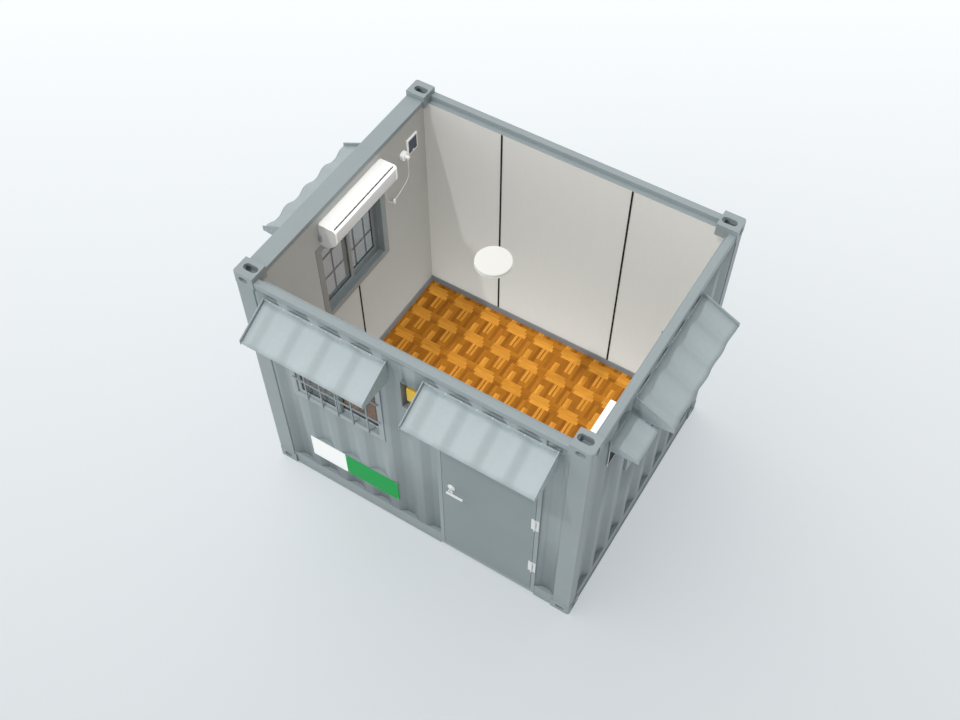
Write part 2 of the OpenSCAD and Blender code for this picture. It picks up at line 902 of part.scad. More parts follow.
// A tube of cord_sides sides swept along the route
module ac_lead() {
    route = [for (p = cord_route) p + [left_wall, 0, 0]];
    last = len(route) - 1;
    side_axis = [1, 0, 0];
    rings = [for (i = [0:last])
        let (t = route[min(i + 1, last)] - route[max(i - 1, 0)],
             n = t / norm(t),
             b = cross(n, side_axis) / norm(cross(n, side_axis)),
             a = cross(b, n))
        for (k = [0:cord_sides - 1])
            route[i] + cord_r * (cos(k * 360 / cord_sides) * a + sin(k * 360 / cord_sides) * b)];
    walls = [for (i = [0:last - 1], k = [0:cord_sides - 1])
        let (j = (k + 1) % cord_sides, r0 = i * cord_sides, r1 = r0 + cord_sides)
        each [[r0 + k, r0 + j, r1 + j], [r0 + k, r1 + j, r1 + k]]];
    end = last * cord_sides;
    foot = [for (k = [1:cord_sides - 2]) [0, k + 1, k]];
    head = [for (k = [1:cord_sides - 2]) [end, end + k, end + k + 1]];
    color(white) place() polyhedron(rings, concat(walls, foot, head));
}

// The moulded junction that hangs at the lead's lowest point
module lead_junction() {
    color(white) place() translate([left_wall + junction_x, junction_y, junction_z])
        cylinder(r = junction_r, h = junction_height);
}

module ac_plug() {
    color(white) place() translate([left_wall + socket_depth, socket_y, socket_z]) rotate([0, 90, 0])
        cylinder(r = plug_r, h = plug_length);
}

module socket() {
    half = socket_side / 2;
    flat = half - 20;
    color(white) place() translate([left_wall, socket_y, socket_z]) rotate([90, 0, 90])
        linear_extrude(socket_depth) polygon([
            [-half, -flat], [-flat, -half], [flat, -half], [half, -flat],
            [half, flat], [flat, half], [-flat, half], [-half, flat]]);
}

module distribution_board() {
    color("#4a5468") place()
        translate([left_wall, board_y, board_z]) cube(board_size);
}

module inlet_box() {
    u1 = inlet_left + inlet_width;
    z1 = inlet_bottom + inlet_height;
    color("#7f898b") place() difference() {
        box([inlet_left, crest_inset, inlet_bottom], [u1, inlet_depth, z1]);
        box([inlet_left + inlet_steel, crest_inset - eps, inlet_bottom + inlet_steel],
            [u1 - inlet_steel, inlet_depth - inlet_steel, z1 - inlet_steel]);
    }
}

module power_inlet() {
    plate = [150, 40, 160];
    knob = [22, 18];
    u = inlet_left + inlet_width / 2;
    z = inlet_bottom + inlet_height - plate.z / 2 - inlet_drop;
    back = inlet_depth - inlet_steel;
    color("#d8b23a") place() {
        box([u - plate.x / 2, back - plate.y, z - plate.z / 2], [u + plate.x / 2, back, z + plate.z / 2]);
        translate([u, back - plate.y, z]) rotate([90, 0, 0]) cylinder(r = knob[0], h = knob[1]);
    }
}

// An inner housing and a duct through the wall, with a flange on the cladding's crests
module wall_fan() {
    half_side = fan_side / 2;
    half_duct = fan_duct / 2;
    half_bore = half_duct - fan_wall;
    rim = half_duct + fan_flange;
    color(white) on_right() {
        box([fan_centre - half_side, right_wall, fan_height - half_side],
            [fan_centre + half_side, right_wall + fan_proud, fan_top]);
        difference() {
            union() {
                box([fan_centre - half_duct, crest_inset, fan_height - half_duct],
                    [fan_centre + half_duct, right_wall, fan_height + half_duct]);
                box([fan_centre - rim, crest_inset - flange_depth, fan_height - rim],
                    [fan_centre + rim, crest_inset, fan_height + rim]);
            }
            box([fan_centre - half_bore, crest_inset - flange_depth - eps, fan_height - half_bore],
                [fan_centre + half_bore, right_wall - fan_wall, fan_height + half_bore]);
        }
    }
}

module sign_board() {
    color(white) place()
        box([sign_left, crest_inset - sign_depth, sign_bottom],
            [sign_left + sign_length, crest_inset, sign_bottom + sign_height]);
}

module ceiling_light() {
    color(white) place() translate([cabin_length / 2, cabin_width / 2, light_top - light_depth])
        cylinder(d = light_diameter, h = light_depth);
}

// ---------------------------------------------------------------- the part

base_castings();
top_castings();
corner_posts();
base_rails();
floor_joists();
floor_board();
parquet_floor();
top_rails();
end_rails();
wall_caps();
lining_front_left();
lining_front_head();
lining_front_right();
lining_rear();
lining_left();
lining_right();
cladding_front();
cladding_rear();
cladding_left();
cladding_right();
joint_strips();
skirting();
place() window_frame(front_window_left, front_wall);  // window_front_frame
on_left() window_frame(side_window_left, left_wall);  // window_left_frame
on_right() window_frame(side_window_left, right_wall);  // window_right_frame
window_glass();
place() grille(front_window_left);  // grille_front
on_left() grille(side_window_left);  // grille_left
on_right() grille(side_window_left);  // grille_right
place() awning(front_awning_left);  // awning_front
place() awning(door_awning_left);  // awning_door
on_left() awning(side_awning_left);  // awning_left
on_right() awning(side_awning_left);  // awning_right
fan_hood();
wall_fan();
door_frame();
door_leaf();
hinge_frame_sides();
hinge_door_sides();
door_handle();
handle_plates();
air_conditioner();
ac_lead();
lead_junction();
ac_plug();
socket();
distribution_board();
inlet_box();
power_inlet();
sign_board();
ceiling_light();
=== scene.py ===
"""Looks of a container cabin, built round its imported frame.

Lengths are millimetres in a wall's own axes unless a name says otherwise: u runs
along the wall seen from outside, v goes in from its outer face and z is up.
"""

import json
import logging
import math
from dataclasses import dataclass, field
from enum import Enum

import bmesh
import bpy
import numpy as np
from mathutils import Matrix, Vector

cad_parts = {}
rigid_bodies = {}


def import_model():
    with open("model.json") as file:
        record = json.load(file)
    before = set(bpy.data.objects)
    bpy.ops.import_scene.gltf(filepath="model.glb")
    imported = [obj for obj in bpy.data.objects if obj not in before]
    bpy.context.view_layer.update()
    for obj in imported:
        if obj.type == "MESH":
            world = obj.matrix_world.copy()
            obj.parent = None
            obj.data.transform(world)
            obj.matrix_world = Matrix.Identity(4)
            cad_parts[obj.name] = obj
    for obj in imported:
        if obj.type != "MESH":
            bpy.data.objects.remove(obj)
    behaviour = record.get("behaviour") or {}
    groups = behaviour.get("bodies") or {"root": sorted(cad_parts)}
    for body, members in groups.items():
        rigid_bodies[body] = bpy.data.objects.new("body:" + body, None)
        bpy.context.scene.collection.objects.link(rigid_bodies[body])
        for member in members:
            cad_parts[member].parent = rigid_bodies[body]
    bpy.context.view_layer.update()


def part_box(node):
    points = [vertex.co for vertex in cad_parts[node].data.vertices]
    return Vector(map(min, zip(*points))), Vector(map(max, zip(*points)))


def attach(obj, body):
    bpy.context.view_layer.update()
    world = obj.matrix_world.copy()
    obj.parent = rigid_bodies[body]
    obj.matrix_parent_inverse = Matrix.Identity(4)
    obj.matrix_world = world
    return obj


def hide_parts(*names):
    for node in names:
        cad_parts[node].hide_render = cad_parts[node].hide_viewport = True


LOG = logging.getLogger("cabin")
MM = 0.001
CABIN = "cabin"
DOOR = "door"
HANDLE = "handle"


# ---------------------------------------------------------------- shapes


@dataclass
class Shape:
    """A mesh as arrays: points in millimetres, faces as lists of point numbers."""

    points: np.ndarray
    faces: list
    uv: np.ndarray | None = None
    tone: np.ndarray | None = None


def joined(shapes: list) -> Shape:
    """Puts several shapes in one.

    Args:
        shapes: the shapes, all with or all without uv and tone.

    Returns:
        One shape whose face numbers are shifted past the points before them.
    """
    starts = np.cumsum([0] + [len(s.points) for s in shapes[:-1]])
    faces = [[int(start) + i for i in face] for start, s in zip(starts, shapes) for face in s.faces]
    uv = None if shapes[0].uv is None else np.vstack([s.uv for s in shapes])
    tone = None if shapes[0].tone is None else np.concatenate([s.tone for s in shapes])
    return Shape(np.vstack([s.points for s in shapes]), faces, uv, tone)


def grid_faces(rows: int, columns: int, wrap_rows: bool = False, wrap_columns: bool = False) -> list:
    """Returns the quads of a grid of rows by columns points, numbered row by row."""
    i, j = np.meshgrid(np.arange(rows - (not wrap_rows)), np.arange(columns - (not wrap_columns)),
                       indexing="ij")
    i, j = i.ravel(), j.ravel()
    down, along = (i + 1) % rows, (j + 1) % columns
    quads = np.stack([i * columns + j, i * columns + along, down * columns + along,
                      down * columns + j], axis=1)
    return quads.tolist()


def block(low: tuple, high: tuple) -> Shape:
    """Returns the box between two opposite corners."""
    corners = np.array([[i, j, k] for i in (0, 1) for j in (0, 1) for k in (0, 1)], float)
    low_corner, high_corner = np.asarray(low, float), np.asarray(high, float)
    faces = [[0, 1, 3, 2], [4, 6, 7, 5], [0, 4, 5, 1], [2, 3, 7, 6], [0, 2, 6, 4], [1, 5, 7, 3]]
    return Shape(low_corner + corners * (high_corner - low_corner), faces)


class Run(Enum):
    """The axis that an outline is carried along."""

    U = 0
    V = 1
    Z = 2


def prism(outline: np.ndarray, start: float, end: float, run: Run) -> Shape:
    """Carries a closed outline along one axis and closes both ends.

    Args:
        outline: its points, in the other two axes' order.
        start: where it begins along the run.
        end: where it ends along the run.
        run: the axis it is carried along.

    Returns:
        The closed shape.
    """
    flat = np.asarray(outline, float)
    count = len(flat)
    points = np.vstack([np.insert(flat, run.value, level, axis=1) for level in (start, end)])
    sides = grid_faces(2, count, wrap_columns=True)
    return Shape(points, sides + [list(range(count))[::-1], list(range(count, 2 * count))])


def rounded(corners: np.ndarray, radius: float, steps: int = 5) -> np.ndarray:
    """Rounds the corners of a closed outline.

    Each corner gives way to a quadratic curve that leaves the two sides radius before
    and after it: (1-t)^2 a + 2t(1-t) corner + t^2 b.
    """
    at = np.asarray(corners, float)
    before, after = np.roll(at, 1, axis=0) - at, np.roll(at, -1, axis=0) - at
    reach = [np.minimum(radius, 0.45 * np.linalg.norm(d, axis=1, keepdims=True)) for d in (before, after)]
    a = at + before / np.linalg.norm(before, axis=1, keepdims=True) * reach[0]
    b = at + after / np.linalg.norm(after, axis=1, keepdims=True) * reach[1]
    t = np.linspace(0, 1, steps)[None, :, None]
    curve = (1 - t) ** 2 * a[:, None] + 2 * t * (1 - t) * at[:, None] + t ** 2 * b[:, None]
    return curve.reshape(-1, 2)


def oblong(x0: float, x1: float, y0: float, y1: float, radius: float, steps: int = 5) -> np.ndarray:
    """Returns a rectangle's outline with rounded corners."""
    return rounded([(x0, y0), (x1, y0), (x1, y1), (x0, y1)], radius, steps)


def mitred(u0: float, u1: float, z0: float, z1: float, profile: np.ndarray) -> Shape:
    """Carries a closed profile round a rectangle with mitred corners.

    Args:
        u0, u1: left and right edge.
        z0, z1: bottom and top edge.
        profile: points of (distance in from the edge, v).

    Returns:
        The closed frame: each corner's points lie on its diagonal.
    """
    inward, depth = np.asarray(profile, float).T
    corners = ((u0, z0, 1, 1), (u1, z0, -1, 1), (u1, z1, -1, -1), (u0, z1, 1, -1))
    rows = [np.stack([u + su * inward, depth, z + sz * inward], axis=1) for u, z, su, sz in corners]
    return Shape(np.vstack(rows), grid_faces(4, len(inward), wrap_rows=True, wrap_columns=True))


def surface(u: np.ndarray, v: np.ndarray, z: np.ndarray) -> Shape:
    """Returns the open sheet through a grid of points, from arrays that broadcast together."""
    points = np.stack(np.broadcast_arrays(u, v, z), axis=2)
    return Shape(points.reshape(-1, 3), grid_faces(*points.shape[:2]))


def rings_closed(count: int, sides: int) -> list:
    """Returns the faces of a row of rings, with the first and the last closed."""
    last = (count - 1) * sides
    caps = [list(range(sides))[::-1], [last + k for k in range(sides)]]
    return grid_faces(count, sides, wrap_columns=True) + caps


def tube(path: np.ndarray, radius: float, sides: int = 10, ripple: float = 0.0) -> Shape:
    """Sweeps a circle along a path and closes its ends.

    Args:
        path: its points.
        radius: of the tube, or one number for each point.
        sides: points round it.
        ripple: how much the radius swells and shrinks along it, as on a weld bead.

    Returns:
        Rings at right angles to the path's direction, which is that of the next point
        less the last.
    """
    line = np.asarray(path, float)
    tangent = np.gradient(line, axis=0)
    tangent /= np.linalg.norm(tangent, axis=1, keepdims=True)
    helper = np.where(np.abs(tangent[:, 2:3]) > 0.9, [[1.0, 0.0, 0.0]], [[0.0, 0.0, 1.0]])
    across = np.cross(tangent, helper)
    across /= np.linalg.norm(across, axis=1, keepdims=True)
    upward = np.cross(across, tangent)
    size = radius * np.ones(len(line)) * (1 + ripple * np.sin(np.arange(len(line)) * 2.1))
    angle = np.arange(sides) * 2 * np.pi / sides
    rings = (line[:, None] + size[:, None, None] * (np.cos(angle)[None, :, None] * across[:, None]
             + np.sin(angle)[None, :, None] * upward[:, None]))
    return Shape(rings.reshape(-1, 3), rings_closed(len(line), sides))


def lathe(profile: list, centre: tuple, run: Run, sides: int = 32, sign: int = 1) -> Shape:
    """Turns a profile round an axis and closes both ends.

    Args:
        profile: points of (radius, distance along the axis), no radius zero.
        centre: where the axis starts.
        run: the axis.
        sides: points round it.
        sign: 1 to go along the axis, -1 against it.

    Returns:
        Rings of r cos a and r sin a at each distance.
    """
    radius, along = np.asarray(profile, float).T
    angle = np.arange(sides) * 2 * np.pi / sides
    flat = np.stack([radius[:, None] * np.cos(angle), radius[:, None] * np.sin(angle)], axis=2)
    points = np.insert(flat.reshape(-1, 2), run.value, np.repeat(sign * along, sides), axis=1)
    return Shape(points + np.asarray(centre, float), rings_closed(len(radius), sides))


def dome_head(radius: float, height: float) -> list:
    """Returns a rivet or screw head's profile, a quarter of an ellipse."""
    angle = np.linspace(0, np.pi / 2, 5)
    return list(zip(np.maximum(radius * np.cos(angle), 0.15 * radius), height * np.sin(angle)))


# ---------------------------------------------------------------- placing


class Side(Enum):
    """A wall, by the turn that takes its own axes to the cabin's."""

    FRONT = ((1, 0), (0, 1), (-1, -1))
    RIGHT = ((0, -1), (1, 0), (1, -1))
    REAR = ((-1, 0), (0, -1), (1, 1))
    LEFT = ((0, 1), (-1, 0), (-1, 1))


@dataclass(frozen=True)
class Wall:
    """A wall's own axes, and the way from them to the part's frame."""

    side: Side
    length: float
    width: float

    @property
    def turn(self) -> np.ndarray:
        """The 3 by 3 turn from the wall's axes to the cabin's."""
        turn = np.eye(3)
        turn[:2, :2] = self.side.value[:2]
        return turn

    @property
    def corner(self) -> np.ndarray:
        """Where the wall's u = 0, v = 0 lies, in millimetres."""
        along, across = self.side.value[2]
        return np.array([along * self.length / 2, across * self.width / 2, 0.0])

    def place(self, points: np.ndarray) -> np.ndarray:
        """Returns points in metres in the part's frame."""
        return (points @ self.turn.T + self.corner) * MM

    def span(self, node: str) -> tuple:
        """Returns a CAD node's lowest and highest corners in the wall's axes."""
        ends = np.array([list(corner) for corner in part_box(node)]) / MM
        local = (ends - self.corner) @ self.turn
        return local.min(axis=0), local.max(axis=0)


def walls() -> dict:
    """Returns the four walls, sized from the castings."""
    low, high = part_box("base_castings")
    length, width = (high.x - low.x) / MM, (high.y - low.y) / MM
    return {side: Wall(side, length, width) for side in Side}


# ---------------------------------------------------------------- materials


def linear(code: str) -> tuple:
    """Returns an sRGB hex colour as linear red, green, blue and alpha."""
    share = np.array([int(code[i:i + 2], 16) for i in (1, 3, 5)]) / 255
    light = np.where(share <= 0.04045, share / 12.92, ((share + 0.055) / 1.055) ** 2.4)
    return (*light.tolist(), 1.0)


def add(tree: bpy.types.NodeTree, kind: str, links: dict | None = None, **settings) -> bpy.types.Node:
    """Adds one shader node.

    Args:
        tree: the material's tree.
        kind: the node's type without its ShaderNode prefix.
        links: for each input, a value, a node or one of a node's outputs.
        **settings: the node's own properties.

    Returns:
        The node.
    """
    node = tree.nodes.new("ShaderNode" + kind)
    for key, value in settings.items():
        setattr(node, key, value)
    for key, value in (links or {}).items():
        if isinstance(value, bpy.types.Node):
            value = value.outputs[0]
        if isinstance(value, bpy.types.NodeSocket):
            tree.links.new(value, node.inputs[key])
        else:
            node.inputs[key].default_value = value
    return node


def per_metre(size_mm: float) -> float:
    """Returns the pattern scale that makes a feature of that size."""
    return 1 / (size_mm * MM)


def emptied(owner: bpy.types.ID) -> bpy.types.NodeTree:
    """Returns a material's or world's tree with nothing in it."""
    owner.use_nodes = True
    owner.node_tree.nodes.clear()
    return owner.node_tree


def place(tree: bpy.types.NodeTree) -> bpy.types.NodeSocket:
    """Returns the place on the object, in metres."""
    return add(tree, "TexCoord").outputs["Object"]


def ranged(tree: bpy.types.NodeTree, value: bpy.types.NodeSocket, low: float, high: float,
           start: float = 0.0, end: float = 1.0) -> bpy.types.NodeSocket:
    """Returns a value carried from start and end to low and high, and held there."""
    return add(tree, "MapRange", {"Value": value, "From Min": start, "From Max": end,
                                  "To Min": low, "To Max": high}).outputs[0]


def combined(tree: bpy.types.NodeTree, operation: str, *values) -> bpy.types.NodeSocket:
    """Returns what a Math operation makes of its values, taken in turn."""
    total = values[0]
    for value in values[1:]:
        total = add(tree, "Math", {0: total, 1: value}, operation=operation).outputs[0]
    return total


@dataclass(frozen=True)
class Finish:
    """A surface: its colour and gloss, and a pattern that subclasses draw."""

    name: str
    slot: str
    colour: str
    roughness: float

    def material(self) -> bpy.types.Material:
        """Returns the finish's material, made once."""
        found = bpy.data.materials.get(self.name)
        if found:
            return found
        made = bpy.data.materials.new(self.name)
        tree = emptied(made)
        shader = add(tree, "BsdfPrincipled",
                     {"Base Color": linear(self.colour), "Roughness": self.roughness})
        add(tree, "OutputMaterial", {"Surface": shader})
        self.pattern(tree, shader)
        return made

    def noise(self, tree: bpy.types.NodeTree, size: float | tuple, detail: float,
              distortion: float = 0.0) -> bpy.types.NodeSocket:
        """Returns noise whose features have one size, or one along each axis, in mm."""
        at, scale = place(tree), 1.0
        if isinstance(size, tuple):
            at = add(tree, "Mapping", {"Vector": at, "Scale": [per_metre(s) for s in size]})
        else:
            scale = per_metre(size)
        return add(tree, "TexNoise", {"Vector": at, "Scale": scale, "Detail": detail,
                                      "Distortion": distortion}).outputs[0]

    def shade(self, tree: bpy.types.NodeTree, shader: bpy.types.Node, amount: bpy.types.NodeSocket,
              colour: bpy.types.NodeSocket | None = None) -> None:
        """Multiplies the colour's brightness by an amount that varies over the surface."""
        toned = add(tree, "HueSaturation", {"Color": colour or linear(self.colour), "Value": amount})
        tree.links.new(toned.outputs[0], shader.inputs["Base Color"])

    def gloss(self, tree: bpy.types.NodeTree, shader: bpy.types.Node, value: bpy.types.NodeSocket,
              less: float, more: float) -> None:
        """Varies the roughness from less below its value to more above it."""
        varied = ranged(tree, value, self.roughness - less, self.roughness + more)
        tree.links.new(varied, shader.inputs["Roughness"])

    def bump(self, tree: bpy.types.NodeTree, shader: bpy.types.Node, height: bpy.types.NodeSocket,
             depth_mm: float, strength: float = 1.0) -> None:
        """Raises the surface by height times depth_mm."""
        raised = add(tree, "Bump", {"Height": height, "Distance": depth_mm * MM, "Strength": strength})
        tree.links.new(raised.outputs[0], shader.inputs["Normal"])

    def pattern(self, tree: bpy.types.NodeTree, shader: bpy.types.Node) -> None:
        """Draws the finish's own detail."""
        raise NotImplementedError


@dataclass(frozen=True)
class SprayedPaint(Finish):
    """Two-pack acrylic paint sprayed on steel: a faint orange peel that breaks up the
    gloss, soft cloudy tone, rain streaks down the walls and a dusty foot."""

    peel_mm: float = 7.0  # the real peel is 1 to 2 mm, too fine to show
    cloud_mm: float = 420.0
    streak_mm: tuple = (26.0, 26.0, 900.0)
    dust_height: float = 0.32

    def pattern(self, tree: bpy.types.NodeTree, shader: bpy.types.Node) -> None:
        """Draws clouds, streaks, dust and peel."""
        streak = self.noise(tree, self.streak_mm, 2.0)
        height = add(tree, "SeparateXYZ", {"Vector": place(tree)}).outputs["Z"]
        clouds = ranged(tree, self.noise(tree, self.cloud_mm, 3.0), 0.975, 1.025, 0.3, 0.7)
        streaks = ranged(tree, streak, 0.982, 1.012, 0.35, 0.65)
        dust = ranged(tree, height, 0.93, 1.0, 0.0, self.dust_height)
        self.shade(tree, shader, combined(tree, "MULTIPLY", clouds, streaks, dust))
        self.gloss(tree, shader, streak, 0.07, 0.1)
        self.bump(tree, shader, self.noise(tree, self.peel_mm, 1.0), 0.25, 0.5)


@dataclass(frozen=True)
class CoatedBoard(Finish):
    """PVC-coated gypsum board: matte, with fine upright embossed lines and a few
    paler flecks."""

    rib_mm: float = 9.0  # the real emboss is about 2 mm, too fine to show
    fleck_mm: tuple = (14.0, 14.0, 160.0)

    def pattern(self, tree: bpy.types.NodeTree, shader: bpy.types.Node) -> None:
        """Draws the emboss, as a wave along x + y, and the flecks."""
        along = add(tree, "VectorMath", {0: place(tree), 1: (1.0, 1.0, 0.0)}, operation="DOT_PRODUCT")
        turns = combined(tree, "MULTIPLY", along.outputs["Value"], 2 * math.pi * per_metre(self.rib_mm))
        wave = add(tree, "Math", {0: turns}, operation="SINE").outputs[0]
        flecks = ranged(tree, self.noise(tree, self.fleck_mm, 2.0), 0.995, 1.01, 0.4, 0.7)
        self.shade(tree, shader, combined(tree, "MULTIPLY", ranged(tree, wave, 0.996, 1.002, -1.0), flecks))
        self.bump(tree, shader, wave, 0.06, 0.3)


@dataclass(frozen=True)
class VarnishedStrips(Finish):
    """Satin-varnished hardwood strips: each strip has its own tone, grain runs along
    it and the varnish softens the joints. The light that it throws on the walls is
    nearly neutral."""

    dark: str = "#864b0f"
    pale: str = "#f5aa42"
    throw: str = "#b3aea6"
    sheen: float = 0.16
    grain_mm: tuple = (120.0, 3.4)

    def pattern(self, tree: bpy.types.NodeTree, shader: bpy.types.Node) -> None:
        """Colours each strip from its tone attribute, with grain on its own uv."""
        ramp = add(tree, "ValToRGB", {0: add(tree, "Attribute", attribute_name="tone").outputs["Fac"]})
        stops = ramp.color_ramp.elements
        stops[0].color, stops[1].color = linear(self.dark), linear(self.pale)
        stops.new(0.5).color = linear(self.colour)
        scale = (1 / self.grain_mm[0], 1 / self.grain_mm[1], 1.0)
        along = add(tree, "Mapping", {"Vector": add(tree, "UVMap", uv_map="strip"), "Scale": scale})
        grain = add(tree, "TexNoise", {"Vector": along, "Scale": 1.0, "Detail": 4.0,
                                       "Distortion": 0.6}).outputs[0]
        shader.inputs["Specular IOR Level"].default_value = self.sheen
        bounced = add(tree, "LightPath").outputs["Is Diffuse Ray"]
        thrown = add(tree, "MixRGB", {0: bounced, 1: ramp.outputs[0], 2: linear(self.throw)})
        self.shade(tree, shader, ranged(tree, grain, 0.66, 1.26, 0.25, 0.75), thrown.outputs[0])
        self.gloss(tree, shader, grain, 0.0, 0.15)
        self.bump(tree, shader, grain, 0.15, 0.5)


@dataclass(frozen=True)
class Plywood(Finish):
    """Birch plywood: long soft figure, darker where the plies' edges show."""

    figure_mm: tuple = (500.0, 40.0, 3.0)

    def pattern(self, tree: bpy.types.NodeTree, shader: bpy.types.Node) -> None:
        """Draws the figure along x and the plies in z."""
        figure = self.noise(tree, self.figure_mm, 5.0, 1.0)
        self.shade(tree, shader, ranged(tree, figure, 0.82, 1.1, 0.3, 0.7))
        self.bump(tree, shader, figure, 0.3, 0.4)


@dataclass(frozen=True)
class PlatedMetal(Finish):
    """Zinc-plated or satin metal: fine drawn lines, with a slight bloom."""

    metallic: float = 0.9
    line_mm: tuple = (50.0, 2.5, 2.5)
    bloom_mm: float = 22.0

    def pattern(self, tree: bpy.types.NodeTree, shader: bpy.types.Node) -> None:
        """Draws the bloom in the tone and the lines in the gloss."""
        shader.inputs["Metallic"].default_value = self.metallic
        self.shade(tree, shader, ranged(tree, self.noise(tree, self.bloom_mm, 3.0), 0.93, 1.04))
        self.gloss(tree, shader, self.noise(tree, self.line_mm, 1.0), 0.08, 0.12)


@dataclass(frozen=True)
class MouldedPlastic(Finish):
    """Injection-moulded ABS or PVC: an even spark-eroded texture that keeps the gloss
    soft, with a slight handling haze."""

    grain_mm: float = 1.6  # the real texture is about 0.3 mm, too fine to show
    haze_mm: float = 90.0
    sheen: float = 0.5
    # glow: emission on a part that is no lamp, which paints light on it.
    glow: float = 0.0

    def pattern(self, tree: bpy.types.NodeTree, shader: bpy.types.Node) -> None:
        """Draws the haze in the tone and the texture in the relief."""
        shader.inputs["Specular IOR Level"].default_value = self.sheen
        # Emission on a part that is no lamp: painted light.
        shader.inputs["Emission Color"].default_value = linear(self.colour)
        shader.inputs["Emission Strength"].default_value = self.glow
        self.shade(tree, shader, ranged(tree, self.noise(tree, self.haze_mm, 2.0), 0.975, 1.015))
        self.bump(tree, shader, self.noise(tree, self.grain_mm, 1.0), 0.05, 0.35)


@dataclass(frozen=True)
class TintedGlass(Finish):
    """Grey float glass with a film: half clear, with a faint roller wave in its
    reflections."""

    cover: float = 0.56
    sheen: float = 0.25
    wave_mm: float = 240.0

    def pattern(self, tree: bpy.types.NodeTree, shader: bpy.types.Node) -> None:
        """Sets how much is seen through, and the wave."""
        shader.inputs["Alpha"].default_value = self.cover
        shader.inputs["Specular IOR Level"].default_value = self.sheen
        wave = self.noise(tree, self.wave_mm, 0.0)
        self.shade(tree, shader, ranged(tree, wave, 0.94, 1.06))
        self.bump(tree, shader, wave, 0.2, 0.3)


@dataclass(frozen=True)
class OpalDiffuser(Finish):
    """Opal acrylic over a lamp: white all through, so it glows a little."""

    glow: float = 0.04
    cloud_mm: float = 120.0

    def pattern(self, tree: bpy.types.NodeTree, shader: bpy.types.Node) -> None:
        """Adds the glow and a faint cloud in the tone."""
        shader.inputs["Emission Color"].default_value = linear(self.colour)
        shader.inputs["Emission Strength"].default_value = self.glow
        self.shade(tree, shader, ranged(tree, self.noise(tree, self.cloud_mm, 1.0), 0.985, 1.01))


PAINT = SprayedPaint("wall_paint", "frame_paint", "#9faaad", 0.42)
RAIL_PAINT = SprayedPaint("rail_paint", "top_paint", "#a0abae", 0.4)
DOOR_PAINT = SprayedPaint("door_paint", "frame_paint", "#909c9e", 0.4)
# Awning coats: the wall paint painted paler for faces turned to the light, and a greyer copy that paints
# shade on the left awning.
AWNING_PAINTED_LIGHT = SprayedPaint("awning_coat", "awning_paint", "#b9c5c8", 0.5, dust_height=0.01)
AWNING_PAINTED_SHADE = SprayedPaint("awning_coat_painted_shade", "awning_paint", "#a4afb2", 0.42, dust_height=0.01)
WINDOW_PAINT = SprayedPaint("window_profile_coat", "frame_paint", "#aab4b7", 0.36, peel_mm=5.0)
# The wall paint darkened for the inlet recess: painted shade.
RECESS_PAINTED_SHADE = SprayedPaint("inlet_box_painted_shade", "frame_paint", "#8b9597", 0.5)
# Copies of one coated board: the rear copy is painted lighter for the lit rear wall, the second copy paints
# shade and the third paints deeper shade on the left wall.
LINING = CoatedBoard("coated_board", "lining", "#f1f0ec", 0.66)
LINING_PAINTED_SHADE = CoatedBoard("coated_board_painted_shade", "lining", "#d3d3cf", 0.66)
LINING_PAINTED_DEEP_SHADE = CoatedBoard("coated_board_painted_deep_shade", "lining", "#cacac6", 0.66)
TRIM_BLACK = MouldedPlastic("extruded_black_pvc", "black_trim", "#0c0c0d", 0.75)
TRIM_GREY = MouldedPlastic("extruded_grey_pvc", "grey_trim", "#9da3aa", 0.5)
PARQUET = VarnishedStrips("varnished_oak_strips", "parquet", "#cb8224", 0.42)
PLY = Plywood("birch_plywood", "floor_board", "#a5834f", 0.6)
GLASS = TintedGlass("grey_float_glass", "glass", "#666d6f", 0.14)
EPDM = MouldedPlastic("epdm_gasket", "black_trim", "#1a1b1c", 0.6)
ZINC = PlatedMetal("zinc_plate", "zinc", "#f1f4f4", 0.4, metallic=0.15)
ALUMINIUM = PlatedMetal("satin_aluminium", "handle_metal", "#f9fbfb", 0.4, metallic=0.1)
SHELL_WHITE = MouldedPlastic("white_abs", "white_plastic", "#fbfbf9", 0.34)
# Grey copy of the white ABS. On the cooler's front panel it is painted shade on a white face turned from the
# light. It also colours the fan blades and the socket rim.
SHELL_GREY_AND_PAINTED_SHADE = MouldedPlastic("light_grey_abs_and_painted_shade", "white_plastic", "#cfd0d0", 0.38)
# Dark ABS for the louvre and the outer flange. The same finish also paints shade as dark blocks in openings,
# slots and holes, and behind guards and slats.
DARK_ABS_AND_PAINTED_SHADE = MouldedPlastic("dark_abs_and_painted_shade", "black_trim", "#26282a", 0.6)
SHEATH = MouldedPlastic("pvc_sheath", "white_cable", "#e9e9e4", 0.48)
BOARD_FACE = MouldedPlastic("smoked_polycarbonate", "board_plastic", "#46516a", 0.16)
# The yellow plate and both sign sheets glow though they are no lamps: painted light.
YELLOW = MouldedPlastic("yellow_polyamide_painted_glow", "yellow_plastic", "#e9bd34", 0.36, glow=0.12)
SIGN_WHITE = MouldedPlastic("white_sign_sheet_painted_glow", "sign_face", "#fbfdfc", 0.4, sheen=0.2, glow=0.2)
SIGN_GREEN = MouldedPlastic("green_sign_sheet_painted_glow", "sign_face", "#15a24d", 0.4, sheen=0.1, glow=0.12)
OPAL = OpalDiffuser("opal_acrylic", "white_plastic", "#f3f2ec", 0.6)


# ---------------------------------------------------------------- pieces


def dress(piece: bpy.types.Object, finish: Finish, body: str, stands_for: tuple = ()) -> bpy.types.Object:
    """Gives a piece its finish, its body and the CAD nodes it stands for.

    Args:
        piece: the object.
        finish: its finish.
        body: the body it moves with.
        stands_for: the CAD nodes that it hides.

    Returns:
        The same object.
    """
    piece.data.materials.clear()
    piece.data.materials.append(finish.material())
    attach(piece, body)
    if stands_for:
        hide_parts(*stands_for)
    return piece


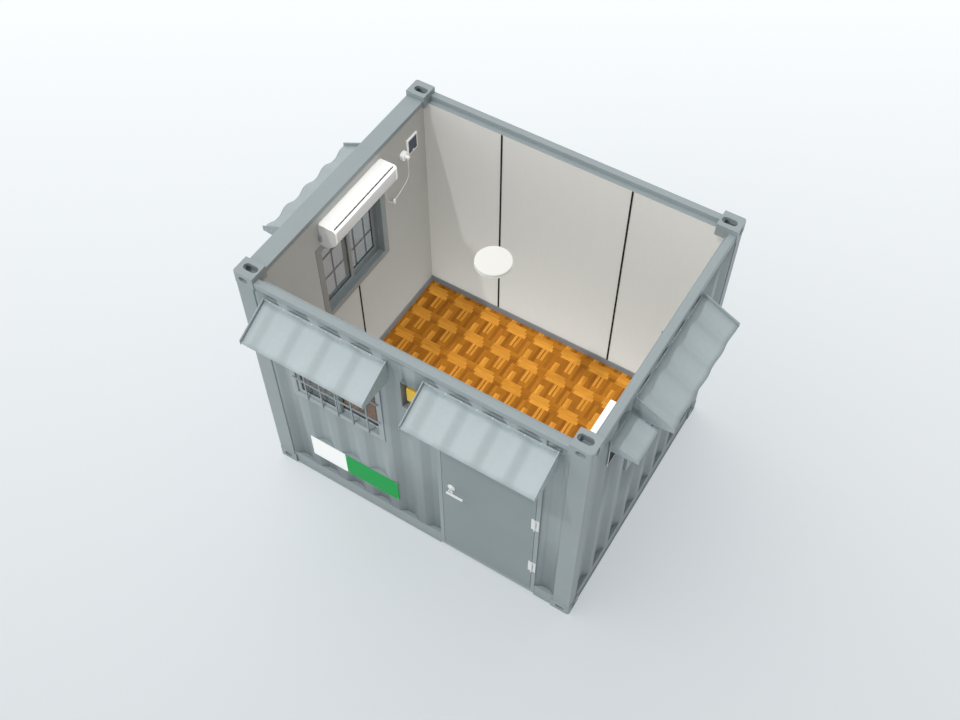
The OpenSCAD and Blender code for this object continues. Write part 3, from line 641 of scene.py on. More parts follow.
def placed(name: str, data: bpy.types.ID) -> bpy.types.Object:
    """Puts an object with that data in the scene."""
    made = bpy.data.objects.new(name, data)
    bpy.context.scene.collection.objects.link(made)
    return made


def smoothed(mesh: bpy.types.Mesh, sharp: float = 34.0) -> None:
    """Shades a mesh smooth except over edges that turn more than sharp degrees."""
    mesh.shade_smooth()
    mesh.set_sharp_from_angle(angle=math.radians(sharp))


@dataclass
class Maker:
    """Turns shapes into finished pieces and keeps count of them."""

    made: list = field(default_factory=list)

    def note(self, piece: bpy.types.Object) -> bpy.types.Object:
        """Adds a piece to the count."""
        self.made.append(piece.name)
        LOG.info("%s: %d points", piece.name, len(piece.data.vertices) if piece.type == "MESH" else 0)
        return piece

    def piece(self, name: str, shape: Shape, wall: Wall, finish: Finish, body: str = CABIN,
              edge: float = 0.0, thickness: float = 0.0, stands_for: tuple = (),
              sharp: float = 34.0) -> bpy.types.Object:
        """Makes a shape an object.

        Args:
            name: the piece's name.
            shape: its points and faces in the wall's axes.
            wall: the wall.
            finish: its finish.
            body: the body it moves with.
            edge: radius of its rounded edges, or 0.
            thickness: of a sheet, which grows in against its normals, or 0.
            stands_for: the CAD nodes that it hides.
            sharp: the angle over which an edge stays crisp.

        Returns:
            The object.
        """
        mesh = bpy.data.meshes.new(name)
        mesh.from_pydata(wall.place(shape.points).tolist(), [], shape.faces)
        if shape.uv is not None:
            layer = mesh.uv_layers.new(name="strip")
            corner_points = np.zeros(len(mesh.loops), np.int32)
            mesh.loops.foreach_get("vertex_index", corner_points)
            layer.data.foreach_set("uv", shape.uv[corner_points].astype(np.float32).ravel())
        if shape.tone is not None:
            tones = mesh.attributes.new("tone", "FLOAT", "POINT")
            tones.data.foreach_set("value", shape.tone.astype(np.float32))
        if not thickness:
            shell = bmesh.new()
            shell.from_mesh(mesh)
            bmesh.ops.recalc_face_normals(shell, faces=shell.faces)
            shell.to_mesh(mesh)
            shell.free()
        smoothed(mesh, sharp)
        made = placed(name, mesh)
        if thickness:
            wall_of = made.modifiers.new("thickness", "SOLIDIFY")
            wall_of.thickness, wall_of.offset = thickness * MM, -1.0
        if edge:
            self.round_edges(made, edge)
        return self.note(dress(made, finish, body, stands_for))

    def round_edges(self, piece: bpy.types.Object, radius: float, group: str = "",
                    segments: int = 3) -> None:
        """Rounds a piece's edges over 30 degrees, or those of one vertex group."""
        bevel = piece.modifiers.new("edge", "BEVEL")
        bevel.width, bevel.segments = radius * MM, segments
        bevel.limit_method = "VGROUP" if group else "ANGLE"
        bevel.angle_limit = math.radians(30)
        bevel.vertex_group = group
        bevel.harden_normals = True

    def softened(self, node: str, finish: Finish, radius: float, body: str = CABIN,
                 corner: float = 0.0) -> bpy.types.Object:
        """Makes a merged copy of a CAD node with rounded edges, which stands for it.

        Args:
            node: the CAD node.
            finish: its finish.
            radius: of every edge.
            body: the body it moves with.
            corner: a larger radius for the upright edges at the cabin's corners, or 0.

        Returns:
            The object.
        """
        mesh = bpy.data.objects[node].data.copy()
        mesh.name = node + "_shape"
        shell = bmesh.new()
        shell.from_mesh(mesh)
        bmesh.ops.remove_doubles(shell, verts=shell.verts, dist=0.01 * MM)
        bmesh.ops.dissolve_limit(shell, angle_limit=math.radians(0.5), verts=shell.verts,
                                 edges=shell.edges)
        shell.to_mesh(mesh)
        shell.free()
        smoothed(mesh)
        made = placed(node + "_finished", mesh)
        if corner:
            low, high = (np.array(list(c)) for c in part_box(node))
            points = np.zeros(len(mesh.vertices) * 3, np.float32)
            mesh.vertices.foreach_get("co", points)
            points = points.reshape(-1, 3)
            at_end = np.minimum(np.abs(points - low), np.abs(points - high))[:, :2] < 0.2 * MM
            group = made.vertex_groups.new(name="corner")
            group.add(np.flatnonzero(at_end.all(axis=1)).tolist(), 1.0, "REPLACE")
            self.round_edges(made, corner, "corner", 5)
        self.round_edges(made, radius)
        return self.note(dress(made, finish, body, (node,)))


# ---------------------------------------------------------------- frame


@dataclass
class SteelFrame:
    """Castings, posts and rails, with the weld beads where they meet."""

    maker: Maker
    walls: dict
    casting_corner: float = 18.0
    bead: float = 3.2
    bead_step: float = 4.0

    def build(self) -> None:
        """Makes every piece of the frame."""
        for node, finish, radius in (("base_castings", PAINT, 2.5), ("top_castings", RAIL_PAINT, 2.5)):
            self.maker.softened(node, finish, radius, corner=self.casting_corner)
        for node, finish, radius in (("corner_posts", PAINT, 5.0), ("base_rails", PAINT, 1.6),
                                     ("floor_joists", PAINT, 2.0), ("top_rails", RAIL_PAINT, 1.0),
                                     ("end_rails", RAIL_PAINT, 4.0), ("wall_caps", RAIL_PAINT, 1.0)):
            self.maker.softened(node, finish, radius)
        self.beads()

    def beads(self) -> None:
        """Lays a bead where each post meets its two castings, round its outer faces."""
        front = self.walls[Side.FRONT]
        low, high = front.span("corner_posts")
        base, top = front.span("base_castings")[1][2], front.span("top_castings")[0][2]
        reach_x, reach_y = 150.0, 95.0
        beads = []
        for level in (base + 1.5, top - 1.5):
            for x, toward_x in ((low[0], 1), (high[0], -1)):
                for y, toward_y in ((low[1], 1), (high[1], -1)):
                    along_x = np.arange(reach_x, 0, -self.bead_step)
                    along_y = np.arange(0, reach_y, self.bead_step)
                    path = np.vstack([
                        np.stack([x + toward_x * along_x, np.full_like(along_x, y)], axis=1),
                        np.stack([np.full_like(along_y, x), y + toward_y * along_y], axis=1)])
                    path = np.insert(path, 2, level, axis=1)
                    beads.append(tube(path, self.bead, 7, ripple=0.16))
        self.maker.piece("post_weld_beads", joined(beads), front, PAINT)


@dataclass
class Cladding:
    """A wall of trapezoid sheet with rolled bends, its openings cut out."""

    maker: Maker
    wall: Wall
    crest: float = 14.0
    depth: float = 36.0
    flat: float = 70.0
    slope: float = 68.0
    steel: float = 2.0
    bend: float = 16.0
    pitch: float = 278.0
    first: float = 129.0  # from the front sheet's left end to the middle of its first recess

    @property
    def node(self) -> str:
        """The wall's CAD node."""
        return "cladding_" + self.wall.side.name.lower()

    @property
    def recesses(self) -> np.ndarray:
        """The middles of its recesses: counted from the left in front, spaced evenly elsewhere."""
        low, high = self.wall.span(self.node)
        if self.wall.side is Side.FRONT:
            return low[0] + self.first + self.pitch * np.arange(-1, 11)
        count = round((high[0] - low[0]) / self.pitch)
        return low[0] + (high[0] - low[0]) / count * (np.arange(count) + 0.5)

    def profile(self, u: np.ndarray, centres: np.ndarray) -> np.ndarray:
        """Gives the sheet's depth at each u.

        Within bend of an edge, the straight line gives way to a smooth one: the depth is
        the mean of the sharp profile over a window of that width.
        """
        window = np.linspace(-self.bend / 2, self.bend / 2, 9)
        off = np.abs(u[:, None, None] + window[None, :, None] - centres[None, None, :]).min(axis=2)
        share = np.clip((self.flat / 2 + self.slope - off) / self.slope, 0, 1)
        return self.crest + self.depth * share.mean(axis=1)

    def columns(self, u0: float, u1: float, centres: np.ndarray, cuts: list) -> np.ndarray:
        """Returns the u of every column: at both ends, close at the bends, on each cut's edges."""
        edges = (centres[:, None] + np.array([-1, 1]) * self.flat / 2).ravel()
        outer = (centres[:, None] + np.array([-1, 1]) * (self.flat / 2 + self.slope)).ravel()
        bends = np.concatenate([edges, outer])
        near = (bends[:, None] + np.linspace(-self.bend / 2, self.bend / 2, 7)).ravel()
        sides = [c[i] for c in cuts for i in (0, 1)]
        return np.unique(np.clip(np.concatenate([[u0, u1], near, sides]).round(2), u0, u1))

    def sheet(self, u0: float, u1: float, z0: float, z1: float, centres: np.ndarray,
              cuts: list) -> Shape:
        """Makes a stretch of sheet.

        Args:
            u0: left end.
            u1: right end.
            z0: bottom.
            z1: top.
            centres: the middles of its recesses.
            cuts: openings, each (left, right, bottom, top).

        Returns:
            A grid of profile(u) by z, less the faces inside a cut.
        """
        u = self.columns(u0, u1, centres, cuts)
        levels = [z0, z1] + [c[i] for c in cuts for i in (2, 3)]
        z = np.unique(np.clip(levels, z0, z1))
        whole = surface(u[None, :], self.profile(u, centres)[None, :], z[:, None])
        quads = np.array(whole.faces)
        middle = whole.points[quads].mean(axis=1)
        kept = np.ones(len(quads), bool)
        for left, right, bottom, top in cuts:
            kept &= ~((middle[:, 0] > left) & (middle[:, 0] < right)
                      & (middle[:, 2] > bottom) & (middle[:, 2] < top))
        return Shape(whole.points, quads[kept].tolist())

    def build(self, stretches: list, cuts: list) -> None:
        """Makes the wall from stretches of (left, right, bottom, top, recess middles)."""
        shapes = [self.sheet(*s, cuts) for s in stretches]
        self.maker.piece(self.node + "_sheet", joined(shapes), self.wall, PAINT,
                         thickness=self.steel, stands_for=(self.node,), sharp=50)


def closure(maker: Maker, wall: Wall, node: str, name: str, level: float, slit: float) -> None:
    """Closes a flange's or plate's top edge against the recesses behind it.

    Args:
        maker: the maker.
        wall: the wall.
        node: the flange's or plate's CAD node.
        name: the strip's name.
        level: the height of the strip's top.
        slit: how much it leaves open behind the flange.
    """
    sheet = Cladding(maker, wall)
    left, right = (wall.span(node)[k][0] for k in (0, 1))
    u = np.linspace(left + 2, right - 2, 161)
    back = sheet.profile(u, sheet.recesses) - 0.5
    near = np.minimum(np.full_like(u, sheet.crest + slit), back)
    points = np.stack([np.stack([u, v, np.full_like(u, z)], axis=1)
                       for v, z in ((near, level), (back, level), (back, level - 3), (near, level - 3))])
    faces = grid_faces(4, len(u), wrap_rows=True)
    maker.piece(name, Shape(points.reshape(-1, 3), faces), wall, PAINT)


def opening(wall: Wall, node: str, margin: float) -> tuple:
    """Returns a node's left, right, bottom and top, each drawn in by a margin."""
    low, high = wall.span(node)
    return low[0] + margin, high[0] - margin, low[2] + margin, high[2] - margin


def clad(maker: Maker, sides: dict) -> None:
    """Clads all four walls, with openings taken from the frame's own nodes."""
    front, right, left = (sides[s] for s in (Side.FRONT, Side.RIGHT, Side.LEFT))
    trim, duct_levels = 20.0, (1985.0, 2235.0)
    sheet = Cladding(maker, front)
    low, high = front.span(sheet.node)
    door_low, door_high = front.span("door_frame")
    beside = np.array([(door_high[0] + high[0]) / 2])
    sheet.build(
        [(low[0], door_low[0], low[2], high[2], sheet.recesses),
         (door_low[0], door_high[0], door_high[2], high[2], sheet.recesses),
         (door_high[0], high[0], low[2], high[2], beside)],
        [opening(front, "window_front_frame", trim), opening(front, "inlet_box", 0.0)])
    duct = opening(right, "wall_fan", 25.0)
    for side, cuts in (
            (Side.REAR, []),
            (Side.LEFT, [opening(left, "window_left_frame", trim)]),
            (Side.RIGHT, [opening(right, "window_right_frame", trim), (*duct[:2], *duct_levels)])):
        sheet = Cladding(maker, sides[side])
        low, high = sheet.wall.span(sheet.node)
        sheet.build([(low[0], high[0], low[2], high[2], sheet.recesses)], cuts)


# ---------------------------------------------------------------- awnings


@dataclass
class Awning:
    """A canopy of pressed sheet between two cheeks, on a flange screwed to the wall."""

    maker: Maker
    wall: Wall
    node: str
    finish: Finish
    high: float = 2385.0
    low: float = 2225.0
    back: float = 11.0
    face: float = 14.0
    steel: float = 3.0
    dip: float = 26.0
    dip_count: int = 4
    dip_pitch: float = 255.0
    dip_edge: float = 116.0
    dip_floor: float = 14.0
    lip: float = 38.0
    drop: float = 14.0
    cheek_foot: float = 2182.0
    flange: tuple = (-40.0, 30.0)
    roll: float = 4.0
    screw_step: float = 128.0

    def build(self) -> None:
        """Makes the sheet, cheeks, rolled lips, flange, screws and rivets."""
        low, high = self.wall.span(self.node)
        left, right, reach = low[0], high[0], low[1]
        self.maker.piece(self.node + "_sheet", self.sheet(left, right, reach), self.wall,
                         self.finish, thickness=self.steel, stands_for=(self.node,), sharp=60)
        self.maker.piece(self.node + "_cheeks", self.cheeks(left, right, reach), self.wall,
                         self.finish, edge=0.8)
        self.maker.piece(self.node + "_lips", self.lips(left, right, reach), self.wall, self.finish)
        flange = block((left, self.back, self.high + self.flange[0]),
                       (right, self.face, self.high + self.flange[1]))
        self.maker.piece(self.node + "_flange", flange, self.wall, self.finish, edge=0.8)
        self.maker.piece(self.node + "_fixings", self.fixings(left, right, reach), self.wall, ZINC)
        closure(self.maker, self.wall, self.node, self.node + "_closure", self.high + self.flange[1] - 4, 9.0)

    def dips(self, u: np.ndarray) -> np.ndarray:
        """Gives how far the sheet dips at each u: a smooth step down to each hollow's floor."""
        middles = u.mean() + (np.arange(self.dip_count) - (self.dip_count - 1) / 2) * self.dip_pitch
        off = np.abs(u[:, None] - middles).min(axis=1)
        share = np.clip((self.dip_edge - off) / (self.dip_edge - self.dip_floor), 0, 1)
        return self.dip * share ** 2 * (3 - 2 * share)

    def sheet(self, left: float, right: float, reach: float) -> Shape:
        """Makes the sloping sheet: each point goes down the slope and dips at right angles to it."""
        u = np.linspace(left + self.steel, right - self.steel, 181)
        run, fall = self.back - reach, self.high - self.low
        slope = math.hypot(run, fall)
        forward, down = run / slope, fall / slope
        s = np.linspace(0, slope - self.steel, 9)[:, None]
        dip = self.dips(u)[None, :]
        v = np.minimum(self.back - forward * s + down * dip, self.face - 1)
        z = self.high - down * s - forward * dip
        return surface(u[None, :], v, z)

    def cheeks(self, left: float, right: float, reach: float) -> Shape:
        """Makes the two side plates."""
        outline = [(self.face, self.high + self.lip), (reach, self.low + self.lip),
                   (reach, self.low - self.drop), (self.face, self.cheek_foot)]
        return joined([prism(outline, u, u + self.steel, Run.U) for u in (left, right - self.steel)])

    def lips(self, left: float, right: float, reach: float) -> Shape:
        """Rolls each cheek's top edge over into a round lip."""
        share = np.linspace(0, 1, 12)
        v = self.face + (reach + 2 * self.roll - self.face) * share
        z = self.high + (self.low - self.high) * share + self.lip - self.roll
        return joined([tube(np.stack([np.full_like(v, u), v, z], axis=1), self.roll, 10)
                       for u in (left + self.roll, right - self.roll)])

    def fixings(self, left: float, right: float, reach: float) -> Shape:
        """Sets screws along the flange and rivets along each cheek."""
        heads = [lathe(dome_head(6.0, 3.5), (u, self.back, self.high + 18), Run.V, 12, -1)
                 for u in np.arange(left + 60, right - 30, self.screw_step)]
        for share in np.linspace(0.12, 0.9, 5):
            v = self.back + (reach - self.back) * share
            z = self.high + (self.low - self.high) * share - 9
            heads.append(lathe(dome_head(4.0, 1.6), (left, v, z), Run.U, 10, -1))
            heads.append(lathe(dome_head(4.0, 1.6), (right, v, z), Run.U, 10))
        return joined(heads)


# ---------------------------------------------------------------- windows


@dataclass
class Window:
    """A sliding window: frame with two tracks, two sashes, gaskets, glass and grille."""

    maker: Maker
    wall: Wall
    name: str
    inner: float
    trim: float = 20.0
    trim_depth: float = 4.0
    face: float = 45.0
    sash_face: float = 40.0
    sash_depth: float = 26.0
    overlap: float = 40.0
    tracks: tuple = (22.0, 52.0)
    glass: float = 6.0

    def build(self) -> None:
        """Makes the window's pieces."""
        frame_node, grille_node = f"window_{self.name}_frame", f"grille_{self.name}"
        low, high = self.wall.span(frame_node)
        u0, u1 = low[0] + self.trim, high[0] - self.trim
        z0, z1 = low[2] + self.trim, high[2] - self.trim
        outer = low[1]
        maker, wall, tag = self.maker, self.wall, "window_" + self.name
        maker.piece(tag + "_frame_profile", mitred(u0, u1, z0, z1, self.frame_line(outer)), wall,
                    WINDOW_PAINT, edge=0.9, stands_for=(frame_node,))
        trim_line = oblong(-self.trim, self.face, self.inner, self.inner + self.trim_depth, 1.6, 4)
        maker.piece(tag + "_trim", mitred(u0, u1, z0, z1, trim_line), wall, WINDOW_PAINT)
        self.sashes(tag, u0, u1, z0, z1)
        # Dark blocks in the drain slots: painted shadow in the holes.
        slots = [block((u, outer - 0.6, z0 + 9), (u + 26, outer + 1, z0 + 14))
                 for u in (u0 + 140, (u0 + u1) / 2 - 13, u1 - 166)]
        maker.piece(tag + "_drain_slots_painted_shadow", joined(slots), wall, DARK_ABS_AND_PAINTED_SHADE, edge=0.4)
        maker.softened(grille_node, PAINT, 2.2)

    def frame_line(self, outer: float) -> list:
        """Returns the frame's section, with a lip before, between and behind the tracks."""
        lip = self.face + 5
        first, second = self.tracks
        end = second + self.sash_depth
        return [(0, outer), (self.face - 2, outer), (lip, outer + 3), (lip, first - 1),
                (self.face, first - 1), (self.face, first + self.sash_depth + 0.5),
                (lip, first + self.sash_depth + 0.5), (lip, second - 0.5), (self.face, second - 0.5),
                (self.face, end + 1), (lip, end + 1), (lip, end + 4), (self.face, end + 8),
                (self.face, self.inner), (0, self.inner)]

    def sashes(self, tag: str, u0: float, u1: float, z0: float, z1: float) -> None:
        """Makes both sashes, their gaskets and panes, and the latch on the outer one."""
        width = (u1 - u0 - 2 * self.face + self.overlap) / 2
        places = ((u0 + self.face, self.tracks[0]), (u1 - self.face - width, self.tracks[1]))
        bottom, top = z0 + self.face, z1 - self.face
        d, face = self.sash_depth, self.sash_face
        frames, gaskets, panes = [], [], []
        for left, v in places:
            line = [(0, v), (face - 8, v), (face, v + 6), (face, v + 9), (face - 4, v + 9),
                    (face - 4, v + d - 9), (face, v + d - 9), (face, v + d - 6), (face - 8, v + d),
                    (0, v + d)]
            frames.append(mitred(left, left + width, bottom, top, line))
            for side in (v + 6.5, v + d - 9.5):
                gasket = oblong(face - 3, face + 4, side, side + 3, 1.2, 3)
                gaskets.append(mitred(left, left + width, bottom, top, gasket))
            middle = v + d / 2
            panes.append(block((left + face - 3, middle - self.glass / 2, bottom + face - 3),
                               (left + width - face + 3, middle + self.glass / 2, top - face + 3)))
        stile, rise, v = u0 + self.face + (width - face / 2), (bottom + top) / 2, self.tracks[0] + d
        latch = [block((stile - 8, v, rise - 45), (stile + 8, v + 7, rise + 45)),
                 block((stile - 4, v + 6, rise - 14), (stile + 4, v + 14, rise + 22))]
        self.maker.piece(tag + "_sashes", joined(frames), self.wall, WINDOW_PAINT, edge=1.0)
        self.maker.piece(tag + "_gaskets", joined(gaskets), self.wall, EPDM)
        self.maker.piece(tag + "_panes", joined(panes), self.wall, GLASS, edge=0.6)
        self.maker.piece(tag + "_latches", joined(latch), self.wall, ALUMINIUM, edge=2.0)


# ---------------------------------------------------------------- door


@dataclass
class Doorway:
    """The door: its frame and seal, the leaf, three hinges, lever and lock."""

    maker: Maker
    wall: Wall
    knuckle: float = 8.0
    knuckle_reach: float = 10.0  # from the pin to the plate proper
    screw: float = 4.2

    def build(self) -> None:
        """Makes every piece of the doorway."""
        maker, wall = self.maker, self.wall
        maker.softened("door_frame", PAINT, 1.8)
        maker.softened("door_leaf", DOOR_PAINT, 2.2, body=DOOR)
        low, high = wall.span("door_leaf")
        self.leaf_details(low, high)
        self.seal(low, high)
        self.hinges()
        self.lever()

    def leaf_details(self, low: np.ndarray, high: np.ndarray) -> None:
        """Adds the folded seam round the leaf's inner face, and the lock's cylinder."""
        seam = rounded([(6, high[1] - 0.5), (16, high[1] - 0.5), (16, high[1] + 1.2),
                        (6, high[1] + 1.2)], 0.8, 3)
        self.maker.piece("door_leaf_seam", mitred(low[0], high[0], low[2], high[2], seam), self.wall,
                         DOOR_PAINT, body=DOOR)
        handle_low, handle_high = self.wall.span("handle_plates")
        u, z = (handle_low[0] + handle_high[0]) / 2, (handle_low[2] + handle_high[2]) / 2 - 72
        roses = [lathe([(15, 0), (15, 2.5), (13.5, 4), (7, 4)], (u, level, z), Run.V, 32, way)
                 for level, way in ((low[1], -1), (high[1], 1))]
        self.maker.piece("lock_roses", joined(roses), self.wall, ALUMINIUM, body=DOOR)
        keyways = [lathe([(6.4, 0), (6.4, 5), (5.6, 5.6), (1, 5.6)], (u, level, z), Run.V, 24, way)
                   for level, way in ((low[1], -1), (high[1], 1))]
        # Dark slits in the cylinders: painted shadow in the keyways.
        slits = [block((u - 1, level + way * 5.2 - 0.6, z - 4), (u + 1, level + way * 5.2 + 0.6, z + 4))
                 for level, way in ((low[1], -1), (high[1], 1))]
        self.maker.piece("lock_cylinders", joined(keyways), self.wall, ZINC, body=DOOR)
        self.maker.piece("lock_keyways_painted_shadow", joined(slits), self.wall, DARK_ABS_AND_PAINTED_SHADE, body=DOOR)

    def seal(self, low: np.ndarray, high: np.ndarray) -> None:
        """Runs a soft bulb seal round the stop, behind the leaf."""
        line = rounded([(12, high[1] + 0.6), (20, high[1] + 0.6), (20, high[1] + 3.9),
                        (12, high[1] + 3.9)], 1.5, 4)
        self.maker.piece("door_seal", mitred(low[0], high[0], 160.0, high[2], line), self.wall, EPDM)

    def hinges(self) -> None:
        """Makes three butt hinges: rounded knuckles, pins and screwed plates."""
        low, high = self.wall.span("hinge_frame_sides")
        door_low, door_high = self.wall.span("hinge_door_sides")
        pin_u, pin_v = low[0] + self.knuckle, low[1] + self.knuckle
        height, spacing = 160.0, (high[2] - low[2] - 160.0) / 2
        third, gap, r, reach = height / 3, 1.0, self.knuckle, self.knuckle_reach
        face = high[1]
        frame_parts, door_parts, screws, door_screws = [], [], [], []

        def barrel(z0: float, z1: float) -> Shape:
            """Returns one knuckle with eased ends."""
            return lathe([(r - 1, z0), (r, z0 + 1), (r, z1 - 1), (r - 1, z1)], (pin_u, pin_v, 0), Run.Z, 28)

        for i in range(3):
            z0 = low[2] + i * spacing
            z1 = z0 + height
            frame_parts += [barrel(z0, z0 + third - gap), barrel(z0 + 2 * third + gap, z1),
                            lathe([(4, z0 + 1), (4, z1 - 1)], (pin_u, pin_v, 0), Run.Z, 20),
                            block((pin_u, face - 3, z0), (pin_u + reach, face, z0 + third - gap)),
                            block((pin_u, face - 3, z0 + 2 * third + gap), (pin_u + reach, face, z1)),
                            block((pin_u + reach, face - 3, z0), (high[0], face, z1))]
            door_parts += [barrel(z0 + third, z0 + 2 * third),
                           block((pin_u - reach, face - 3, z0 + third), (pin_u, face, z0 + 2 * third)),
                           block((door_low[0], face - 3, z0), (pin_u - reach, face, z1))]
            for share in (0.14, 0.5, 0.86):
                head = dome_head(self.screw, 1.5)
                at = z0 + share * height
                screws.append(lathe(head, (pin_u + 22, face - 3, at), Run.V, 14, -1))
                door_screws.append(lathe(head, (pin_u - 22, face - 3, at), Run.V, 14, -1))
        make = self.maker.piece
        make("hinge_frame_leaves", joined(frame_parts), self.wall, ZINC, edge=0.5,
             stands_for=("hinge_frame_sides",))
        make("hinge_door_leaves", joined(door_parts), self.wall, ZINC, body=DOOR, edge=0.5,
             stands_for=("hinge_door_sides",))
        make("hinge_frame_screws", joined(screws), self.wall, ALUMINIUM)
        make("hinge_door_screws", joined(door_screws), self.wall, ALUMINIUM, body=DOOR)

    def lever(self) -> None:
        """Makes both round roses and both return levers on their spindle."""
        low, high = self.wall.span("handle_plates")
        u, z = (low[0] + high[0]) / 2, (low[2] + high[2]) / 2
        r = (high[0] - low[0]) / 2
        roses, screws = [], []
        for level, way in ((low[1], 1), (high[1], -1)):
            roses.append(lathe([(r - 2, 0), (r, 2), (r, 6)], (u, level, z), Run.V, 40, way))
            screws += [lathe(dome_head(2.6, 0.9), (u + s * (r - 7), level, z), Run.V, 12, -way)
                       for s in (-1, 1)]
        self.maker.piece("handle_roses", joined(roses), self.wall, ALUMINIUM, body=DOOR,
                         stands_for=("handle_plates",))
        self.maker.piece("rose_screws", joined(screws), self.wall, ZINC, body=DOOR)
        lever_low, lever_high = self.wall.span("door_handle")
        levers = [lathe([(7.6, lever_low[1] + 3), (7.6, lever_high[1] - 3)], (u, 0, z), Run.V, 28)]
        tip, half = lever_high[0], (lever_high[2] - lever_low[2]) / 2
        for outer, inner in ((lever_low[1], lever_low[1] + 12), (lever_high[1] - 12, lever_high[1])):
            face = rounded([(u - half, z - half), (tip, z - half + 2), (tip, z + half - 2),
                            (u - half, z + half)], 9, 6)
            levers.append(prism(face, outer, inner, Run.V))
        self.maker.piece("lever_pair", joined(levers), self.wall, ALUMINIUM, body=HANDLE, edge=2.6,
                         stands_for=("door_handle",))


# ---------------------------------------------------------------- room


@dataclass
class Room:
    """Lining panels, cover strips, skirting and the strip floor."""

    maker: Maker
    wall: Wall
    tile: float = 300.0
    cells: int = 8
    first: tuple = (160.0, 185.0)
    depth: float = 10.0
    groove: float = 0.9
    seed: int = 7
    # each strip of a tile: left, near, right and far edge in cells, and its tone
    layout: tuple = (
        (0.0, 7.0, 5.0, 8.0, 0.74), (0.0, 6.0, 5.6, 7.0, 0.8), (0.6, 5.0, 6.0, 6.0, 0.86),
        (0.0, 5.0, 0.6, 6.0, 0.4), (5.0, 7.0, 8.0, 8.0, 0.42), (5.6, 6.0, 8.0, 7.0, 0.34),
        (6.0, 5.0, 8.0, 6.0, 0.24), (3.5, 1.4, 4.25, 5.0, 0.86), (4.25, 1.4, 4.5, 5.0, 0.1),
        (4.5, 1.4, 5.25, 5.0, 0.8), (3.5, 0.0, 5.25, 1.4, 0.36), (0.2, 0.0, 0.95, 3.0, 0.9),
        (0.95, 0.0, 1.7, 3.0, 0.72), (0.0, 0.0, 0.2, 3.0, 0.2), (0.0, 3.0, 1.7, 5.0, 0.36),
        (1.7, 0.0, 2.6, 5.0, 0.3), (2.6, 0.0, 3.5, 5.0, 0.2), (5.25, 0.0, 6.15, 5.0, 0.34),
        (6.15, 0.0, 7.05, 5.0, 0.2), (7.05, 0.0, 8.0, 5.0, 0.4))

    def build(self) -> None:
        """Makes the room's surfaces."""
        # Each wall takes a copy of the one board: painted light on the rear, painted shade on the front and
        # right, deeper painted shade on the left.
        for panel, finish in (("lining_front_left", LINING_PAINTED_SHADE), ("lining_front_head", LINING_PAINTED_SHADE),
                              ("lining_front_right", LINING_PAINTED_SHADE), ("lining_rear", LINING),
                              ("lining_left", LINING_PAINTED_DEEP_SHADE), ("lining_right", LINING_PAINTED_SHADE)):
            self.maker.softened(panel, finish, 0.9)
        self.maker.softened("joint_strips", TRIM_BLACK, 2.0)
        self.maker.softened("skirting", TRIM_GREY, 3.0)
        self.maker.softened("floor_board", PLY, 0.8)
        self.floor()

    def floor(self) -> None:
        """Lays the strips: each is a low block whose top edges are planed to a V joint.

        Every tile repeats the layout, and a strip is cut where it meets the walls.
        """
        low, high = self.wall.span("parquet_floor")
        cell = self.tile / self.cells
        start = [f - self.tile * math.ceil((f - edge) / self.tile) for f, edge in zip(self.first, low)]
        counts = [math.ceil((high[i] - start[i]) / self.tile) for i in (0, 1)]
        strips = np.array(self.layout)
        tiles = np.stack(np.meshgrid(np.arange(counts[0]), np.arange(counts[1]), indexing="ij"),
                         axis=2).reshape(-1, 1, 2)
        corner = np.asarray(start) + tiles * self.tile
        near = (corner + strips[None, :, 0:2] * cell).reshape(-1, 2)
        far = (corner + strips[None, :, 2:4] * cell).reshape(-1, 2)
        near, far = (np.clip(edge, low[:2], high[:2]) for edge in (near, far))
        tone = np.tile(strips[:, 4], len(tiles))
        kept = ((far - near) > 3).all(axis=1)
        near, far, tone = near[kept], far[kept], tone[kept]
        rng = np.random.default_rng(self.seed)
        tone = np.clip(tone + rng.normal(0, 0.055, len(tone)), 0, 1)
        self.lay(near, far, tone, rng.uniform(0, 400, (len(tone), 2)), high[2])

    def lay(self, near: np.ndarray, far: np.ndarray, tone: np.ndarray, shift: np.ndarray,
            top: float) -> None:
        """Builds all the strips at once.

        Args:
            near: each strip's low corner.
            far: each strip's high corner.
            tone: each strip's tone.
            shift: where each strip's grain starts.
            top: the floor's surface.
        """
        ring = np.array([(0, 0), (1, 0), (1, 1), (0, 1)], float)
        layers = [(0.0, top - self.depth), (0.0, top - self.groove), (self.groove, top)]
        points = []
        for inset, level in layers:
            low, high = near + inset, far - inset
            flat = low[:, None] + ring[None] * (high - low)[:, None]
            points.append(np.concatenate([flat, np.full((*flat.shape[:2], 1), level)], axis=2))
        points = np.concatenate(points, axis=1)
        base = np.arange(len(near))[:, None, None] * 12
        sides = np.array([[k + j, k + (j + 1) % 4, k + 4 + (j + 1) % 4, k + 4 + j]
                          for k in (0, 4) for j in range(4)])
        quads = np.vstack([sides, [[3, 2, 1, 0]], [[8, 9, 10, 11]]])
        faces = (base + quads[None]).reshape(-1, 4).tolist()
        size = far - near
        lengthways = (size[:, 0] >= size[:, 1])[:, None]
        offset = points[:, :, :2] - near[:, None]
        uv = np.where(lengthways[:, :, None], offset, offset[:, :, ::-1]) + shift[:, None]
        shape = Shape(points.reshape(-1, 3), faces, uv.reshape(-1, 2), np.repeat(tone, 12))
        self.maker.piece("parquet_strips", shape, self.wall, PARQUET, stands_for=("parquet_floor",),
                         sharp=20)


# ---------------------------------------------------------------- fittings


